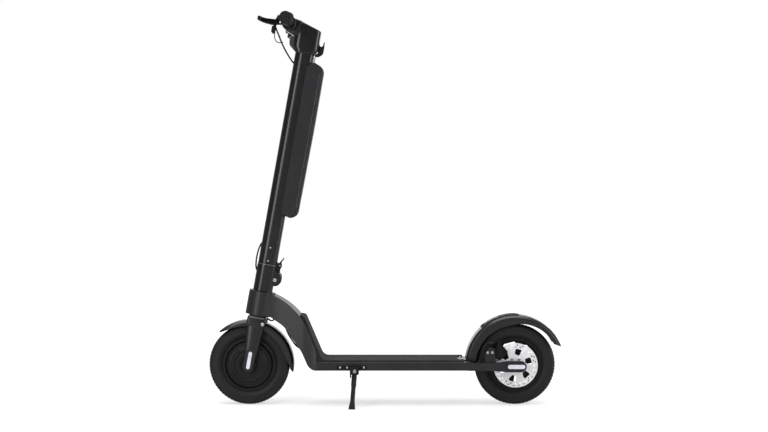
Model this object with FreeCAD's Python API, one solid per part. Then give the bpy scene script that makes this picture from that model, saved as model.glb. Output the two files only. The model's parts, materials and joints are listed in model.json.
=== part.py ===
"""Electric kick scooter with a battery on its stem: every sub-part as closed solids, in millimetres.

Row frame: +Z up, the scooter faces -X, its left side is -Y, and the origin is on the ground under the
middle of its length. Pieces above the front axle are drawn in the steering frame (t, y, s): s runs up
the steering axis from the front axle, t points to the rear of it, and on_stem() sets them in the row
frame.
"""

import FreeCAD, Part
import math
import os

V = FreeCAD.Vector

# ---- driving dimensions ----
wheel_radius = 127.0  # 10 inch tyre
wheelbase = 840.0
rake = 10.2  # degrees, steering axis back from the vertical
rear_fender_radius = 157.0
rear_fender_tip = 22.5  # degrees above the horizontal, behind the rear axle

rear_fender_reach = rear_fender_radius * math.cos(math.radians(rear_fender_tip))
front_x = (wheel_radius - wheelbase - rear_fender_reach) / 2  # centres the length on the origin
rear_x = front_x + wheelbase

# wheels
tyre_half_width = 26.0
tyre_tread_half = 10.0  # flat middle of the tread
bead_radius = 80.2
rim_flange_radius = 84.0
rim_bed_radius = 80.0
rim_half_width = 20.8
flange_thickness = 2.5
axle_radius = 6.0
running_gap = 0.05  # radial, axle in its bearings

# hub motor
drum_radius = 71.0
drum_wall = 5.0
drum_half_width = 24.0
cover_thickness = 4.0
cover_step_radius = 54.0
cover_step = 3.0
bearing_radius = 13.0
bearing_width = 7.0
magnet_thickness = 3.0
magnet_half_width = 16.0
air_gap = 0.7

# fork
fork_inside = 34.0  # half the gap between the legs
leg_thickness = 20.0
leg_end_radius = 17.0
leg_top_half = 31.0
crown_bottom = 145.0
crown_top = 158.0
steerer_radius = 15.0
steerer_bore = 9.0
nut_radius = 10.0
nut_height = 7.0
axle_cover_thickness = 4.0

# head shell of the neck
shell_bottom = 159.0
shell_top = 235.0
shell_radius = 42.0
neck_wall = 4.0
headset_radius = 21.0
headset_height = 9.0
steerer_socket = 26.0  # how deep the steerer sits in the fold base

# fold joint
base_bottom = 237.0
split = 321.0  # height on the steering axis where the stem folds
base_half_depth = 31.0
base_half_width = 27.0
fold_t, fold_s = 33.0, 277.0
fold_pin_radius = 4.0
fold_limit = 87.0  # degrees the stem folds down
ear_radius = 19.0
ear_inside = 13.5
ear_thickness = 9.0
tongue_radius = 11.0
latch_t, latch_s = 41.0, 324.0
latch_pin_radius = 2.5
latch_half_width = 6.0
latch_room = 6.5  # half width of the slot the latch lever turns in
wire_bore_radius = 9.0  # way for the wires up the middle of the fold joint
wire_bore_t = -8.0
plug_length = 50.0  # of the stem foot inside the stem tube

# stem and head
stem_half_depth = 30.0
stem_half_width = 26.0
stem_wall = 2.5
stem_flange = 5.0  # thickness of the foot's flange under the stem tube
head_bottom = 995.0
head_socket = 60.0  # how deep the stem tube sits in the head
head_half_width = 30.0
panel_rear = (40.0, 1072.0)
panel_front = (-43.0, 1098.0)
button_share = 0.84  # of the way from the rear end of the display to its front
bar_t, bar_s = -62.0, 1079.0
bar_radius = 11.0
bell_t, bell_y = bar_t - 2, -68.0
bar_half_length = 222.0
boss_radius = 23.0
boss_half_length = 50.0
grip_radius = 16.5
grip_flange_radius = 19.5
grip_length = 122.0
grip_end_cap = 3.0

# battery
battery_bottom = 479.0
battery_top = 974.0
battery_front = 14.5
battery_rear = 71.0
battery_half_width = 31.0
battery_wall = 3.0
dock_depth = 6.0
dock_half_width = 14.0
fit_gap = 0.8

# deck
deck_front = -214.0
deck_rear = 262.0
deck_bottom = 114.0
deck_side_top = 141.0
deck_half_width = 75.0
deck_wall = 3.0
mat_thickness = 6.0
mat_margin = 5.0
arm_thickness = 18.0
arm_half_height = 17.0
arm_bar_height = 24.0
end_plate_thickness = 6.0

# fenders
fender_foot = 32.0
front_fender_radius = 141.0
front_fender_half = 31.0
rear_fender_half = 38.0
fender_thickness = 3.0
front_fender_from, front_fender_to = -10.0, 133.0  # degrees above the horizontal behind the front axle
front_flange = 27.0  # depth of the side flanges at their deepest
front_edge_radius = 118.5  # lower edge of the front fender's flanges, about a shifted centre
front_edge_shift = (6.5, 30.0)  # mm and degrees of that centre from the front axle, forward and up
fender_bolt_head = 7.0
rear_flange = 32.0
rear_edge_radius = 118.4  # lower edge of the rear part of the rear fender's flanges, about a shifted centre
rear_edge_shift = (19.7, 36.0)  # mm and degrees of that centre from the rear axle

# hook on the head, and the sliding catch on the rear fender that holds it
hook_half_width = 7.0
stem_hook_t = 55.0
stem_hook_bottom = 997.0
stem_hook_top = 1042.0
hook_margin = 1.4  # degrees
catch_half_width = 17.0
catch_thickness = 3.0
catch_length = 41.0  # degrees round the rear axle
catch_travel = 4.0  # degrees

# controls on the bar
lever_pin_t, lever_pin_y = -94.0, -91.0
lever_pin_radius = 2.5
lever_bottom, lever_top = 1059.0, 1078.0
lever_slot = (1069.5, 1078.5)  # of the mount, where the lever's root turns
mount_y = (-98.0, -84.0)
mount_radius = 17.0
throttle_y = (74.0, 90.0)
throttle_radius = 18.0
throttle_paddle_y = (90.5, 124.0)

# rear brake
disc_radius = 70.0
disc_thickness = 1.8
disc_y = -40.2  # outer face
caliper_face = -49.5  # outer face of the calliper's body
caliper_cable_y = -52.5
caliper_turn = -142.0  # degrees from +X up and over to the calliper
piston_reach = 62.0
caliper_cap_y = -55.5
caliper_inner_y = -27.6
disc_slot = 3.2  # half width of the calliper's slot round the disc
pad_radius = 8.8
pad_clearance = 0.4
hub_radius = 22.0
hub_half_width = 38.4
disc_bolt_circle = 22.0

# kickstand
stand_x, stand_y, stand_z = -94.6, -86.0, 113.0
stand_splay = 12.0  # degrees outward
stand_lean = 4.0  # degrees forward
stand_radius = 7.0
stand_pin_radius = 3.5
stand_head_half = 6.5
stand_room = 6.9  # half width of the bracket's slot

seat_gap = 0.3  # between curved pieces on different bodies
cable_radius = 2.5

PIECES = {}


# ---- drawing helpers ----
def corner_cut(before, here, after, radius):
    """Start, middle and end of the arc that rounds the corner at here, as 2-D tuples."""
    ax, ay = before[0] - here[0], before[1] - here[1]
    bx, by = after[0] - here[0], after[1] - here[1]
    la, lb = math.hypot(ax, ay), math.hypot(bx, by)
    ax, ay, bx, by = ax / la, ay / la, bx / lb, by / lb
    half = math.acos(max(-1.0, min(1.0, ax * bx + ay * by))) / 2
    back = radius / math.tan(half)
    start = (here[0] + ax * back, here[1] + ay * back)
    end = (here[0] + bx * back, here[1] + by * back)
    mx, my = ax + bx, ay + by
    m = math.hypot(mx, my)
    reach = radius / math.sin(half) - radius
    return start, (here[0] + mx / m * reach, here[1] + my / m * reach), end


def set_back(before, here, after, radius):
    """How far from the corner at here its rounding starts."""
    turn = math.atan2(here[1] - before[1], here[0] - before[0])
    turn -= math.atan2(after[1] - here[1], after[0] - here[0])
    return radius * abs(math.tan(math.remainder(turn, 2 * math.pi) / 2))


def fitted_radii(corners):
    """Radius of each corner, made smaller where two roundings would meet on one edge."""
    n = len(corners)
    radii = [c[2] if len(c) > 2 else 0.0 for c in corners]
    backs = [set_back(corners[i - 1], corners[i], corners[(i + 1) % n], radii[i]) for i in range(n)]
    room = []
    for i in range(n):
        a, b = corners[i], corners[(i + 1) % n]
        used = backs[i] + backs[(i + 1) % n]
        room.append(min(1.0, 0.98 * math.hypot(a[0] - b[0], a[1] - b[1]) / used) if used > 0 else 1.0)
    return [radii[i] * min(room[i - 1], room[i]) for i in range(n)]


def rounded_wire(corners, lift):
    """Closed wire through corners (a, b) or (a, b, radius), each rounded; lift puts a, b in space."""
    n = len(corners)
    radii = fitted_radii(corners)
    arcs, ends, ordered = {}, [], []
    for i, c in enumerate(corners):
        if radii[i] > 0:
            start, middle, end = corner_cut(corners[i - 1], c, corners[(i + 1) % n], radii[i])
            ends.append((start, end))
            arcs[i] = Part.Arc(lift(*start), lift(*middle), lift(*end)).toShape()
        else:
            ends.append((c[:2], c[:2]))
    for i in range(n):
        if i in arcs:
            ordered.append(arcs[i])
        a, b = ends[i][1], ends[(i + 1) % n][0]
        if math.hypot(a[0] - b[0], a[1] - b[1]) > 1e-6:
            ordered.append(Part.makeLine(lift(*a), lift(*b)))
    return Part.Wire(ordered)


def slab(corners, y0, y1):
    """Outline in the X-Z plane (or t-s plane), carried from y0 to y1."""
    face = Part.Face(rounded_wire(corners, lambda a, b: V(a, y0, b)))
    return face.extrude(V(0, y1 - y0, 0))


def plate(corners, z0, z1):
    """Outline in the X-Y plane (or t-y plane), carried from z0 to z1."""
    face = Part.Face(rounded_wire(corners, lambda a, b: V(a, b, z0)))
    return face.extrude(V(0, 0, z1 - z0))


def ring(corners, start=0.0, sweep=360.0):
    """Profile of (radius, y) corners turned about the Y axis, from start degrees above +X, up and over."""
    face = Part.Face(rounded_wire(corners, lambda r, y: V(r, y, 0)))
    solid = face.revolve(V(0, 0, 0), V(0, -1, 0), sweep)
    solid.rotate(V(0, 0, 0), V(0, -1, 0), start)
    return solid


def tube_y(outer, inner, y0, y1, x=0.0, z=0.0):
    """Tube, or a rod where inner is 0, along Y."""
    body = Part.makeCylinder(outer, y1 - y0, V(x, y0, z), V(0, 1, 0))
    if inner:
        body = body.cut(Part.makeCylinder(inner, y1 - y0, V(x, y0, z), V(0, 1, 0)))
    return body


def tube_z(outer, inner, z0, z1, x=0.0, y=0.0):
    """Tube, or a rod where inner is 0, along Z (or along s)."""
    body = Part.makeCylinder(outer, z1 - z0, V(x, y, z0), V(0, 0, 1))
    if inner:
        body = body.cut(Part.makeCylinder(inner, z1 - z0, V(x, y, z0), V(0, 0, 1)))
    return body


def box(x0, x1, y0, y1, z0, z1):
    return Part.makeBox(x1 - x0, y1 - y0, z1 - z0, V(x0, y0, z0))


def stadium(length, width, y0, y1):
    """Slot-shaped plate, long in Z, thick in Y."""
    h, r = length / 2, width / 2
    return slab([(-r, -h, r * 0.999), (r, -h, r * 0.999), (r, h, r * 0.999), (-r, h, r * 0.999)], y0, y1)


def oval_hole(x0, x1, z0, z1, half, y=0.0):
    """Cutter for an oval hole through a wall that faces X (or t), tall in Z (or s)."""
    ends = [Part.makeCylinder(half, x1 - x0, V(x0, y, z), V(1, 0, 0)) for z in (z0 + half, z1 - half)]
    return joined(box(x0, x1, y - half, y + half, z0 + half, z1 - half), *ends)


def moved(shape, x=0.0, y=0.0, z=0.0):
    shape = shape.copy()
    shape.translate(V(x, y, z))
    return shape


def turned(shape, degrees, axis=V(0, 1, 0), centre=V(0, 0, 0)):
    shape = shape.copy()
    shape.rotate(centre, axis, degrees)
    return shape


def mirrored(shape):
    """The same piece on the other side of the scooter."""
    return shape.mirror(V(0, 0, 0), V(0, 1, 0))


def on_stem(shape):
    """From the steering frame to the row frame."""
    return moved(turned(shape, rake), front_x, 0, wheel_radius)


def on_rear(shape):
    """From a frame at the rear axle to the row frame."""
    return moved(shape, rear_x, 0, wheel_radius)


def joined(first, *others):
    return first.fuse(list(others)).removeSplitter()


def hexagon(radius):
    """Corners of a hexagon."""
    turns = [math.radians(60 * k) for k in range(6)]
    return [(radius * math.cos(a), radius * math.sin(a)) for a in turns]


def screw(radius, height):
    """Socket screw head along Z, its seat at z = 0."""
    head = Part.makeCylinder(radius, height)
    head = head.makeChamfer(height * 0.25, [e for e in head.Edges if e.BoundBox.ZMin > height - 0.01])
    return head.cut(plate(hexagon(radius * 0.5), height * 0.45, height + 1))


def screw_at(radius, height, point, direction):
    """Socket screw head whose seat is at point, facing direction."""
    head = screw(radius, height)
    head.Placement = FreeCAD.Placement(V(*point), FreeCAD.Rotation(V(0, 0, 1), V(*direction)))
    return head


def cable(points, radius):
    """Round cable along straight runs joined by tangent arcs, each as large as its two runs allow."""
    pts = [V(*p) for p in points]
    edges, at, radii = [], pts[0], []
    for before, here, after in zip(pts, pts[1:], pts[2:]):
        a, b = (before - here), (after - here)
        short = min(a.Length, b.Length)
        a.normalize()
        b.normalize()
        half = math.acos(max(-1.0, min(1.0, a.dot(b)))) / 2
        back = 0.45 * short
        bend = back * math.tan(half)
        radii.append(round(bend, 1))
        start, end = here + a * back, here + b * back
        middle = here + (a + b).normalize() * (bend / math.sin(half) - bend)
        edges += [Part.makeLine(at, start), Part.Arc(start, middle, end).toShape()]
        at = end
    edges.append(Part.makeLine(at, pts[-1]))
    path = Part.Wire(edges)
    first = pts[1] - pts[0]
    circle = Part.Wire(Part.makeCircle(radius, pts[0], first))
    tube = path.makePipeShell([circle], True, True)
    share = tube.Volume / (math.pi * radius * radius * path.Length)
    print("cable length", round(path.Length, 1), "least bend", min(radii), "volume share", round(share, 4))
    return tube


def keep(name, *solids):
    """Records a sub-part: one solid, or several solids of one kind."""
    PIECES[name] = list(solids)


# ---- wheels ----
def tyre():
    w, c = tyre_half_width, tyre_tread_half
    r = wheel_radius
    half = [(bead_radius, 12, 1), (bead_radius, 17.6, 1), (85.5, 18.2, 2), (97, w, 13), (r - 5, w - 3, 9),
            (r, c, 4)]
    inner = [(98, w - 5.5, 8), (r - 8, w - 9, 7)]
    outline = [(a, -b, q) for a, b, q in half] + half[::-1] + inner + [(a, -b, q) for a, b, q in inner[::-1]]
    return ring(outline)


def rim_channel():
    """Rim bed and its two flanges, as one closed profile."""
    f, t = rim_half_width, flange_thickness
    return ring([(74, -f, 1.5), (rim_flange_radius, -f, 1), (rim_flange_radius, -f + t, 1),
                 (rim_bed_radius, -f + t, 0.6),
                 (rim_bed_radius, f - t, 0.6), (rim_flange_radius, f - t, 1), (rim_flange_radius, f, 1),
                 (74, f, 1.5),
                 (76, f - 4, 2), (76, -f + 4, 2)])


def front_wheel():
    at = dict(x=front_x, z=wheel_radius)
    keep("front_tyre", moved(tyre(), **at))
    web = ring([(drum_radius - 2, -5), (76.8, -5), (76.8, 5), (drum_radius - 2, 5)])
    drum = tube_y(drum_radius, drum_radius - drum_wall, -drum_half_width, drum_half_width)
    inner = drum_radius - drum_wall
    magnets = tube_y(inner, inner - magnet_thickness, -magnet_half_width, magnet_half_width)
    keep("motor_rotor", moved(joined(rim_channel(), web, drum), **at), moved(magnets, **at))
    y0, y1 = drum_half_width, drum_half_width + cover_thickness
    cover = ring([(bearing_radius, y0 - 2), (inner, y0 - 2), (inner, y0), (drum_radius, y0),
                  (drum_radius, y1, 1.5),
                  (cover_step_radius + 2, y1), (cover_step_radius, y1 + cover_step, 1),
                  (bearing_radius, y1 + cover_step)])
    keep("motor_covers", moved(cover, **at), moved(mirrored(cover), **at))
    bearing = tube_y(bearing_radius, axle_radius + running_gap, y1 + cover_step - bearing_width,
                     y1 + cover_step - 0.5)
    keep("front_bearings", moved(bearing, **at), moved(mirrored(bearing), **at))
    stator_radius = inner - magnet_thickness - air_gap
    stator = tube_y(stator_radius, 30, -15, 15)
    for k in range(18):
        slot = box(stator_radius - 16, stator_radius + 1, -16, 16, -2.6, 2.6)
        stator = stator.cut(turned(slot, k * 20))
    carrier = tube_y(30, axle_radius + 2, -8, 8)
    keep("motor_stator", moved(joined(stator, carrier), **at))


def rear_wheel():
    keep("rear_tyre", on_rear(tyre()))
    hub = tube_y(hub_radius, bearing_radius, -hub_half_width, hub_half_width)
    flange = tube_y(30, bearing_radius, -hub_half_width, -hub_half_width + 4)
    web = tube_y(76.8, hub_radius - 1, -6, 6)
    for k in range(6):
        window = slab([(34, -9, 4), (69, -24, 7), (69, 24, 7), (34, 9, 4)], -7, 7)
        web = web.cut(turned(window, k * 60 + 15))
    reach = hub_half_width - bearing_width - 3
    hollow = tube_y(hub_radius - 4, bearing_radius, -reach, reach)
    keep("rear_rim", on_rear(joined(rim_channel(), web, hub, flange).cut(hollow)))
    bearing = tube_y(bearing_radius, axle_radius + running_gap, hub_half_width - bearing_width,
                     hub_half_width)
    keep("rear_bearings", on_rear(bearing), on_rear(mirrored(bearing)))
    disc = tube_y(disc_radius, 15, disc_y, disc_y + disc_thickness)
    for k in range(6):
        window = slab([(31, -4, 3), (50, -17, 5), (53, 9, 5), (35, 9, 3)], disc_y - 1,
                      disc_y + disc_thickness + 1)
        disc = disc.cut(turned(window, k * 60 - 20))
        bolt_hole = tube_y(2.6, 0, disc_y - 1, disc_y + disc_thickness + 1, disc_bolt_circle)
        disc = disc.cut(turned(bolt_hole, k * 60))
    for k in range(24):
        for radius, shift in ((58, 0), (64, 5)):
            vent = tube_y(2.2, 0, disc_y - 1, disc_y + disc_thickness + 1, radius)
            disc = disc.cut(turned(vent, k * 15 + shift))
    keep("brake_disc", on_rear(disc))
    bolts = []
    for k in range(6):
        head = screw_at(4.2, 3.0, (disc_bolt_circle, disc_y, 0), (0, -1, 0))
        shank = tube_y(2.5, 0, disc_y, disc_y + disc_thickness, disc_bolt_circle)
        bolts.append(on_rear(turned(joined(head, shank), k * 60)))
    keep("disc_bolts", *bolts)


# ---- fork ----
def fork():
    outside = fork_inside + leg_thickness
    slope = (leg_top_half - leg_end_radius) / crown_top
    tip = leg_end_radius / math.cos(math.atan(slope)) * 1.06
    side = slab([(-tip, -leg_end_radius, leg_end_radius * 0.93),
                 (tip, -leg_end_radius, leg_end_radius * 0.93),
                 (leg_top_half, crown_top, 10), (-leg_top_half, crown_top, 10)], -outside - 1, outside + 1)
    arch = Part.Face(rounded_wire(
        [(-outside, -30), (-fork_inside, -30), (-fork_inside, crown_bottom, 8),
         (fork_inside, crown_bottom, 8),
         (fork_inside, -30), (outside, -30), (outside, crown_top, 14), (-outside, crown_top, 14)],
        lambda y, s: V(-60, y, s))).extrude(V(120, 0, 0))
    body = side.common(arch)
    steerer = tube_z(steerer_radius, 0, crown_top - 1, base_bottom + steerer_socket)
    body = joined(body, steerer).cut(tube_z(steerer_bore, 0, crown_bottom - 1,
                                            base_bottom + steerer_socket + 1))
    for sign in (-1, 1):
        ends = sorted((sign * (outside - nut_height - 1), sign * (outside + 1)))
        body = body.cut(tube_y(nut_radius + 1.2, 0, *ends))
    body = body.cut(tube_y(axle_radius + running_gap, 0, -outside - 1, outside + 1))
    keep("fork", on_stem(body))

    nuts = []
    seat = outside - nut_height - 1
    for sign in (-1, 1):
        nuts.append(on_stem(axle_nut(*sorted((sign * seat, sign * (seat + nut_height - 0.5))))))
    axle = joined(tube_y(axle_radius, 0, -outside + 1.5, outside - 1.5), tube_y(axle_radius + 2, 0, -20, 20))
    keep("front_axle", on_stem(axle), *nuts)

    cover = moved(stadium(74, 30, 0, axle_cover_thickness), z=18, y=outside)
    keep("front_axle_covers", on_stem(cover), on_stem(mirrored(cover)))
    strip = moved(stadium(55, 11, 0, 1.2), z=18, y=outside + axle_cover_thickness)
    keep("front_reflectors", on_stem(strip), on_stem(mirrored(strip)))


def axle_nut(y0, y1):
    """Hexagon nut on an axle, drawn about the axle."""
    return slab(hexagon(nut_radius), y0, y1).cut(tube_y(axle_radius, 0, y0 - 1, y1 + 1))


def fender_profile(radius, half, flange):
    """C-shaped section: crown and two side flanges."""
    t = fender_thickness
    return [(radius - flange, -half, 1), (radius - 7, -half, 6), (radius, -half + 9, 9),
            (radius, half - 9, 9),
            (radius - 7, half, 6), (radius - flange, half, 1), (radius - flange, half - t, 1),
            (radius - 8, half - t, 4), (radius - t, half - 10, 7), (radius - t, -half + 10, 7),
            (radius - 8, -half + t, 4), (radius - flange, -half + t, 1)]


def tip_cut(radius, tip, depth, lean):
    """Cutter that slants a fender's flanges off to a thin edge at one end.

    tip is the angle of the end in degrees, depth how far in from the crown the slant runs, and lean how many
    degrees it takes, away from the end: positive where the fender goes on to larger angles.
    """
    def at(r, degrees):
        return r * math.cos(math.radians(degrees)), r * math.sin(math.radians(degrees))
    out = -1 if lean > 0 else 1
    corners = [at(radius - fender_thickness, tip), at(radius - depth, tip + lean),
               at(radius - depth - 40, tip + lean),
               at(radius - depth - 40, tip + 8 * out), at(radius - fender_thickness, tip + 8 * out)]
    return slab(corners, -60, 60)


def front_fender():
    start, end = front_fender_from + rake, front_fender_to + rake
    shell = ring(fender_profile(front_fender_radius, front_fender_half, front_flange), start, end - start)
    shift, towards = front_edge_shift
    lift = math.radians(180 - towards + rake)
    lower = tube_y(front_edge_radius, 0, -60, 60, shift * math.cos(lift), shift * math.sin(lift))
    boss = tube_z(11, 0, front_fender_radius - 2, crown_bottom)
    hollow = tube_y(front_fender_radius - fender_thickness, 0, -40, 40)
    shell = shell.cut(lower).cut(tip_cut(front_fender_radius, start, 26, 30))
    shell = shell.cut(tip_cut(front_fender_radius, end, 18, -25))
    seat = tube_z(fender_bolt_head, 0, 100, front_fender_radius - fender_thickness)
    shell = joined(shell, boss.cut(hollow)).cut(seat)
    keep("front_fender", on_stem(shell.cut(tube_z(4.1, 0, 100, 200))))


# ---- fold joint ----
def stem_section(half_depth, half_width):
    """Egg-shaped tube section: round front, flatter back."""
    d, w = half_depth, half_width
    return [(-d, -w, w * 0.98), (d, -w, w * 0.62), (d, w, w * 0.62), (-d, w, w * 0.98)]


def fold_base():
    body = plate(stem_section(base_half_depth, base_half_width), base_bottom, split - seat_gap)
    ear_outside = ear_inside + ear_thickness
    ear = slab([(fold_t - 22, fold_s - ear_radius, 6),
                (fold_t + ear_radius, fold_s - ear_radius, ear_radius * 0.98),
                (fold_t + ear_radius, fold_s + ear_radius, ear_radius * 0.9), (fold_t - 2, split - 14, 6),
                (fold_t - 22, split - 14, 3)], -ear_outside, ear_outside)
    body = joined(body, ear)
    slot = box(fold_t - tongue_radius - 1.5, fold_t + ear_radius + 5, -ear_inside, ear_inside,
               fold_s - tongue_radius - 3, split + 1)
    slot = joined(slot, tube_y(tongue_radius + 3, 0, -ear_inside, ear_inside, fold_t, fold_s))
    body = body.cut(slot)
    body = body.cut(tube_y(fold_pin_radius + running_gap, 0, -40, 40, fold_t, fold_s))
    body = body.cut(tube_z(steerer_radius + running_gap, 0, base_bottom - 1,
                           base_bottom + steerer_socket + 1))
    body = body.cut(tube_z(wire_bore_radius, 0, base_bottom, split + 1, wire_bore_t))
    cable_hole = oval_hole(-base_half_depth - 4, -12, 280, 308, cable_radius + 1)
    keep("fold_base", on_stem(body.cut(cable_hole)))

    bolts = [joined(tube_y(fold_pin_radius, 0, -ear_outside - 0.5, ear_outside + 0.5, fold_t, fold_s),
                    moved(turned(screw(6.0, 3.0), 90, V(1, 0, 0)), fold_t, -ear_outside, fold_s),
                    moved(turned(screw(6.0, 3.0), -90, V(1, 0, 0)), fold_t, ear_outside, fold_s))]
    keep("steering_bolts", *[on_stem(b) for b in bolts], on_stem(fork_bolt(-1)), on_stem(fork_bolt(1)),
         on_stem(fender_bolt()))


def fender_bolt():
    """Bolt that holds the front fender up against the crown, its head under the fender."""
    under = front_fender_radius - fender_thickness
    return joined(tube_z(4.0, 0, under, crown_top + 6), tube_z(fender_bolt_head - 0.1, 0, under - 3.5, under))


def fork_bolt(sign):
    """Bright cap screw on the outside of a fork leg, just under the crown."""
    y = sign * (fork_inside + leg_thickness)
    return screw_at(5.2, 3.0, (21, y, 136), (0, sign, 0))


def stem_foot():
    """Foot of the stem: flange, plug inside the tube, tongue on the fold pin and lug of the latch lever."""
    seat = split + stem_flange
    flange = plate(stem_section(stem_half_depth, stem_half_width), split, seat)
    d, w = stem_half_depth - stem_wall - 0.1, stem_half_width - stem_wall - 0.1
    plug = plate(stem_section(d, w), seat, seat + plug_length)
    tongue_half = ear_inside - 0.5
    tongue = slab([(fold_t - tongue_radius, fold_s - tongue_radius, tongue_radius * 0.98),
                   (fold_t + tongue_radius, fold_s - tongue_radius, tongue_radius * 0.98),
                   (fold_t + tongue_radius - 4, seat, 2), (fold_t - tongue_radius, seat)],
                  -tongue_half, tongue_half)
    lug = slab([(stem_half_depth - 6, split + 0.5), (latch_t + 5, latch_s - 5, 4.8),
                (latch_t + 5, latch_s + 5, 4.8),
                (stem_half_depth - 6, split + 12)], -tongue_half, tongue_half)
    body = joined(flange, plug, tongue, lug)
    body = body.cut(tube_z(wire_bore_radius, 0, split - 1, seat + plug_length + 5, wire_bore_t))
    body = body.cut(tube_y(fold_pin_radius + running_gap, 0, -40, 40, fold_t, fold_s))
    body = body.cut(tube_y(latch_pin_radius + running_gap, 0, -40, 40, latch_t, latch_s))
    body = body.cut(box(fold_t + 3.5, latch_t + 20, -latch_room, latch_room, fold_s + 15, split + 20))
    body = body.cut(box(stem_half_depth + 1, latch_t + 20, -latch_room, latch_room, split - 9, split + 20))
    keep("stem_foot", on_stem(body))

    lever = slab([(latch_t - 4, 297, 2), (latch_t + 3, 297, 2.5), (latch_t + 2, 312, 4),
                  (latch_t + 6, latch_s, 5),
                  (latch_t + 2, 334, 6), (latch_t + 9.5, 349, 1.5), (latch_t + 6.5, 351, 1.5),
                  (latch_t - 3.5, 334, 6),
                  (latch_t - 4.5, latch_s, 4), (latch_t - 3, 312, 4)], -latch_half_width, latch_half_width)
    lever = lever.cut(tube_y(latch_pin_radius + running_gap, 0, -10, 10, latch_t, latch_s))
    keep("latch_lever", on_stem(lever))


# ---- stem and head ----
def stem_tube():
    top = head_bottom + head_socket
    outer = plate(stem_section(stem_half_depth, stem_half_width), split + stem_flange, top)
    inner = plate(stem_section(stem_half_depth - stem_wall, stem_half_width - stem_wall), split, top + 1)
    body = outer.cut(inner)
    for low, high in ((370, 402), (946, 976)):
        body = body.cut(oval_hole(-stem_half_depth - 4, -12, low, high, cable_radius + 1))
    body = body.cut(box(stem_half_depth - 7, stem_half_depth + 5, -ear_inside, ear_inside, split, split + 14))
    keep("stem_tube", on_stem(body))


def on_panel(share, lift=0.0):
    """Point (t, s) on the slanted top of the head: share 0 at its rear end, 1 at its front."""
    (t0, s0), (t1, s1) = panel_rear, panel_front
    run, rise = t1 - t0, s1 - s0
    length = math.hypot(run, rise)
    return t0 + run * share + rise / length * lift, s0 + rise * share - run / length * lift


def head_outline():
    """Side outline of the head, from the foot of its front up its rear and over the display."""
    return [(-stem_half_depth - 1.5, head_bottom, 1), (stem_half_depth + 2.5, head_bottom, 2), (40, 1010, 10),
            (*panel_rear, 4), (*panel_front, 5), (bar_t - 6, bar_s + 18, 10), (bar_t - 12, bar_s - 22, 10),
            (-46, 1046, 3), (-33, 1043, 2)]


def head():
    w = head_half_width
    body = slab(head_outline(), -w, w)
    body = body.makeFillet(3.0,
                           [e for e in body.Edges if e.Length > 12 and abs(abs(e.CenterOfMass.y) - w) < 0.01])
    boss = tube_y(boss_radius, 0, -boss_half_length, boss_half_length, bar_t, bar_s)
    boss = boss.makeChamfer(2.0,
                            [e for e in boss.Edges if abs(abs(e.CenterOfMass.y) - boss_half_length) < 0.01])
    body = joined(body, boss)
    floor = head_bottom + head_socket + 2
    hollow = slab([(-36, floor), (30, floor), (30, 1070), (-36, 1090)], -w + 4, w - 4)
    body = body.cut(plate(stem_section(stem_half_depth, stem_half_width), head_bottom - 1,
                          head_bottom + head_socket))
    body = body.cut(hollow)
    body = body.cut(tube_y(bar_radius, 0, -80, 80, bar_t, bar_s))
    body = body.cut(display_slab(0.0))
    body = body.cut(headlight_bowl())
    body = body.cut(button_rod(5.3, 8, -6))
    keep("head_casing", on_stem(body))


def display_slab(lift):
    """Glass of the display, let into the slanted top."""
    a, b = on_panel(0.08, lift), on_panel(0.95, lift)
    c, d = on_panel(0.95, lift - 2.0), on_panel(0.08, lift - 2.0)
    return slab([a, b, c, d], -24, 24)


def button_rod(radius, length, lift):
    """Rod at right angles to the slanted top, from lift below or above it."""
    (t0, s0), (t1, s1) = on_panel(button_share, lift), on_panel(button_share, lift + 1)
    return Part.makeCylinder(radius, length, V(t0, 0, s0), V(t1 - t0, 0, s1 - s0))


def headlight_bowl():
    """Space of the headlight in the front of the head: a quarter-round dome, flat on top."""
    return slab([(-24, 997), (-31, 997, 4), (-52, 1014, 18), (-56, 1042, 3), (-24, 1042)], -22, 22)


def headlight():
    round_nose = tube_z(30, 0, 990, 1050, -26)
    tube = plate(stem_section(stem_half_depth, stem_half_width), 980, 1060)
    lens = headlight_bowl().common(round_nose).cut(tube)
    lens = lens.cut(box(-33, 0, -40, 40, 980, 1050))
    keep("headlight_lens", on_stem(lens))


def stem_hook():
    top, bottom = stem_hook_top, stem_hook_bottom
    outline = [(stem_half_depth + 2.5, bottom - 5, 2), (43, bottom - 5, 6), (57, bottom + 6, 14),
               (57.5, bottom + 27, 10),
               (55.8, top, 1.2), (53.5, top, 1), (52.5, top - 11, 3), (50, top - 15.5, 5),
               (43, top - 15.5, 3),
               (42, top - 10, 1), (40.2, top - 10), (40.2, bottom + 7, 2), (stem_half_depth + 2.5, bottom)]
    hook = slab(outline, -hook_half_width, hook_half_width)
    keep("stem_hook", on_stem(hook.cut(slab(head_outline(), -20, 20))))


def handlebar():
    half = bar_half_length
    bar = tube_y(bar_radius, bar_radius - 2, -half, half, bar_t, bar_s)
    keep("handlebar", on_stem(bar))
    y0 = half + grip_end_cap - grip_length
    grip = tube_y(grip_radius, 0, y0, half + grip_end_cap, bar_t, bar_s)
    flanges = [tube_y(grip_flange_radius, 0, half + grip_end_cap - 6, half + grip_end_cap, bar_t, bar_s),
               tube_y(grip_flange_radius - 1, 0, y0, y0 + 4, bar_t, bar_s)]
    grip = joined(grip, *flanges).cut(tube_y(bar_radius, 0, y0 - 1, half, bar_t, bar_s))
    keep("grips", on_stem(grip), on_stem(mirrored(grip)))


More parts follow.
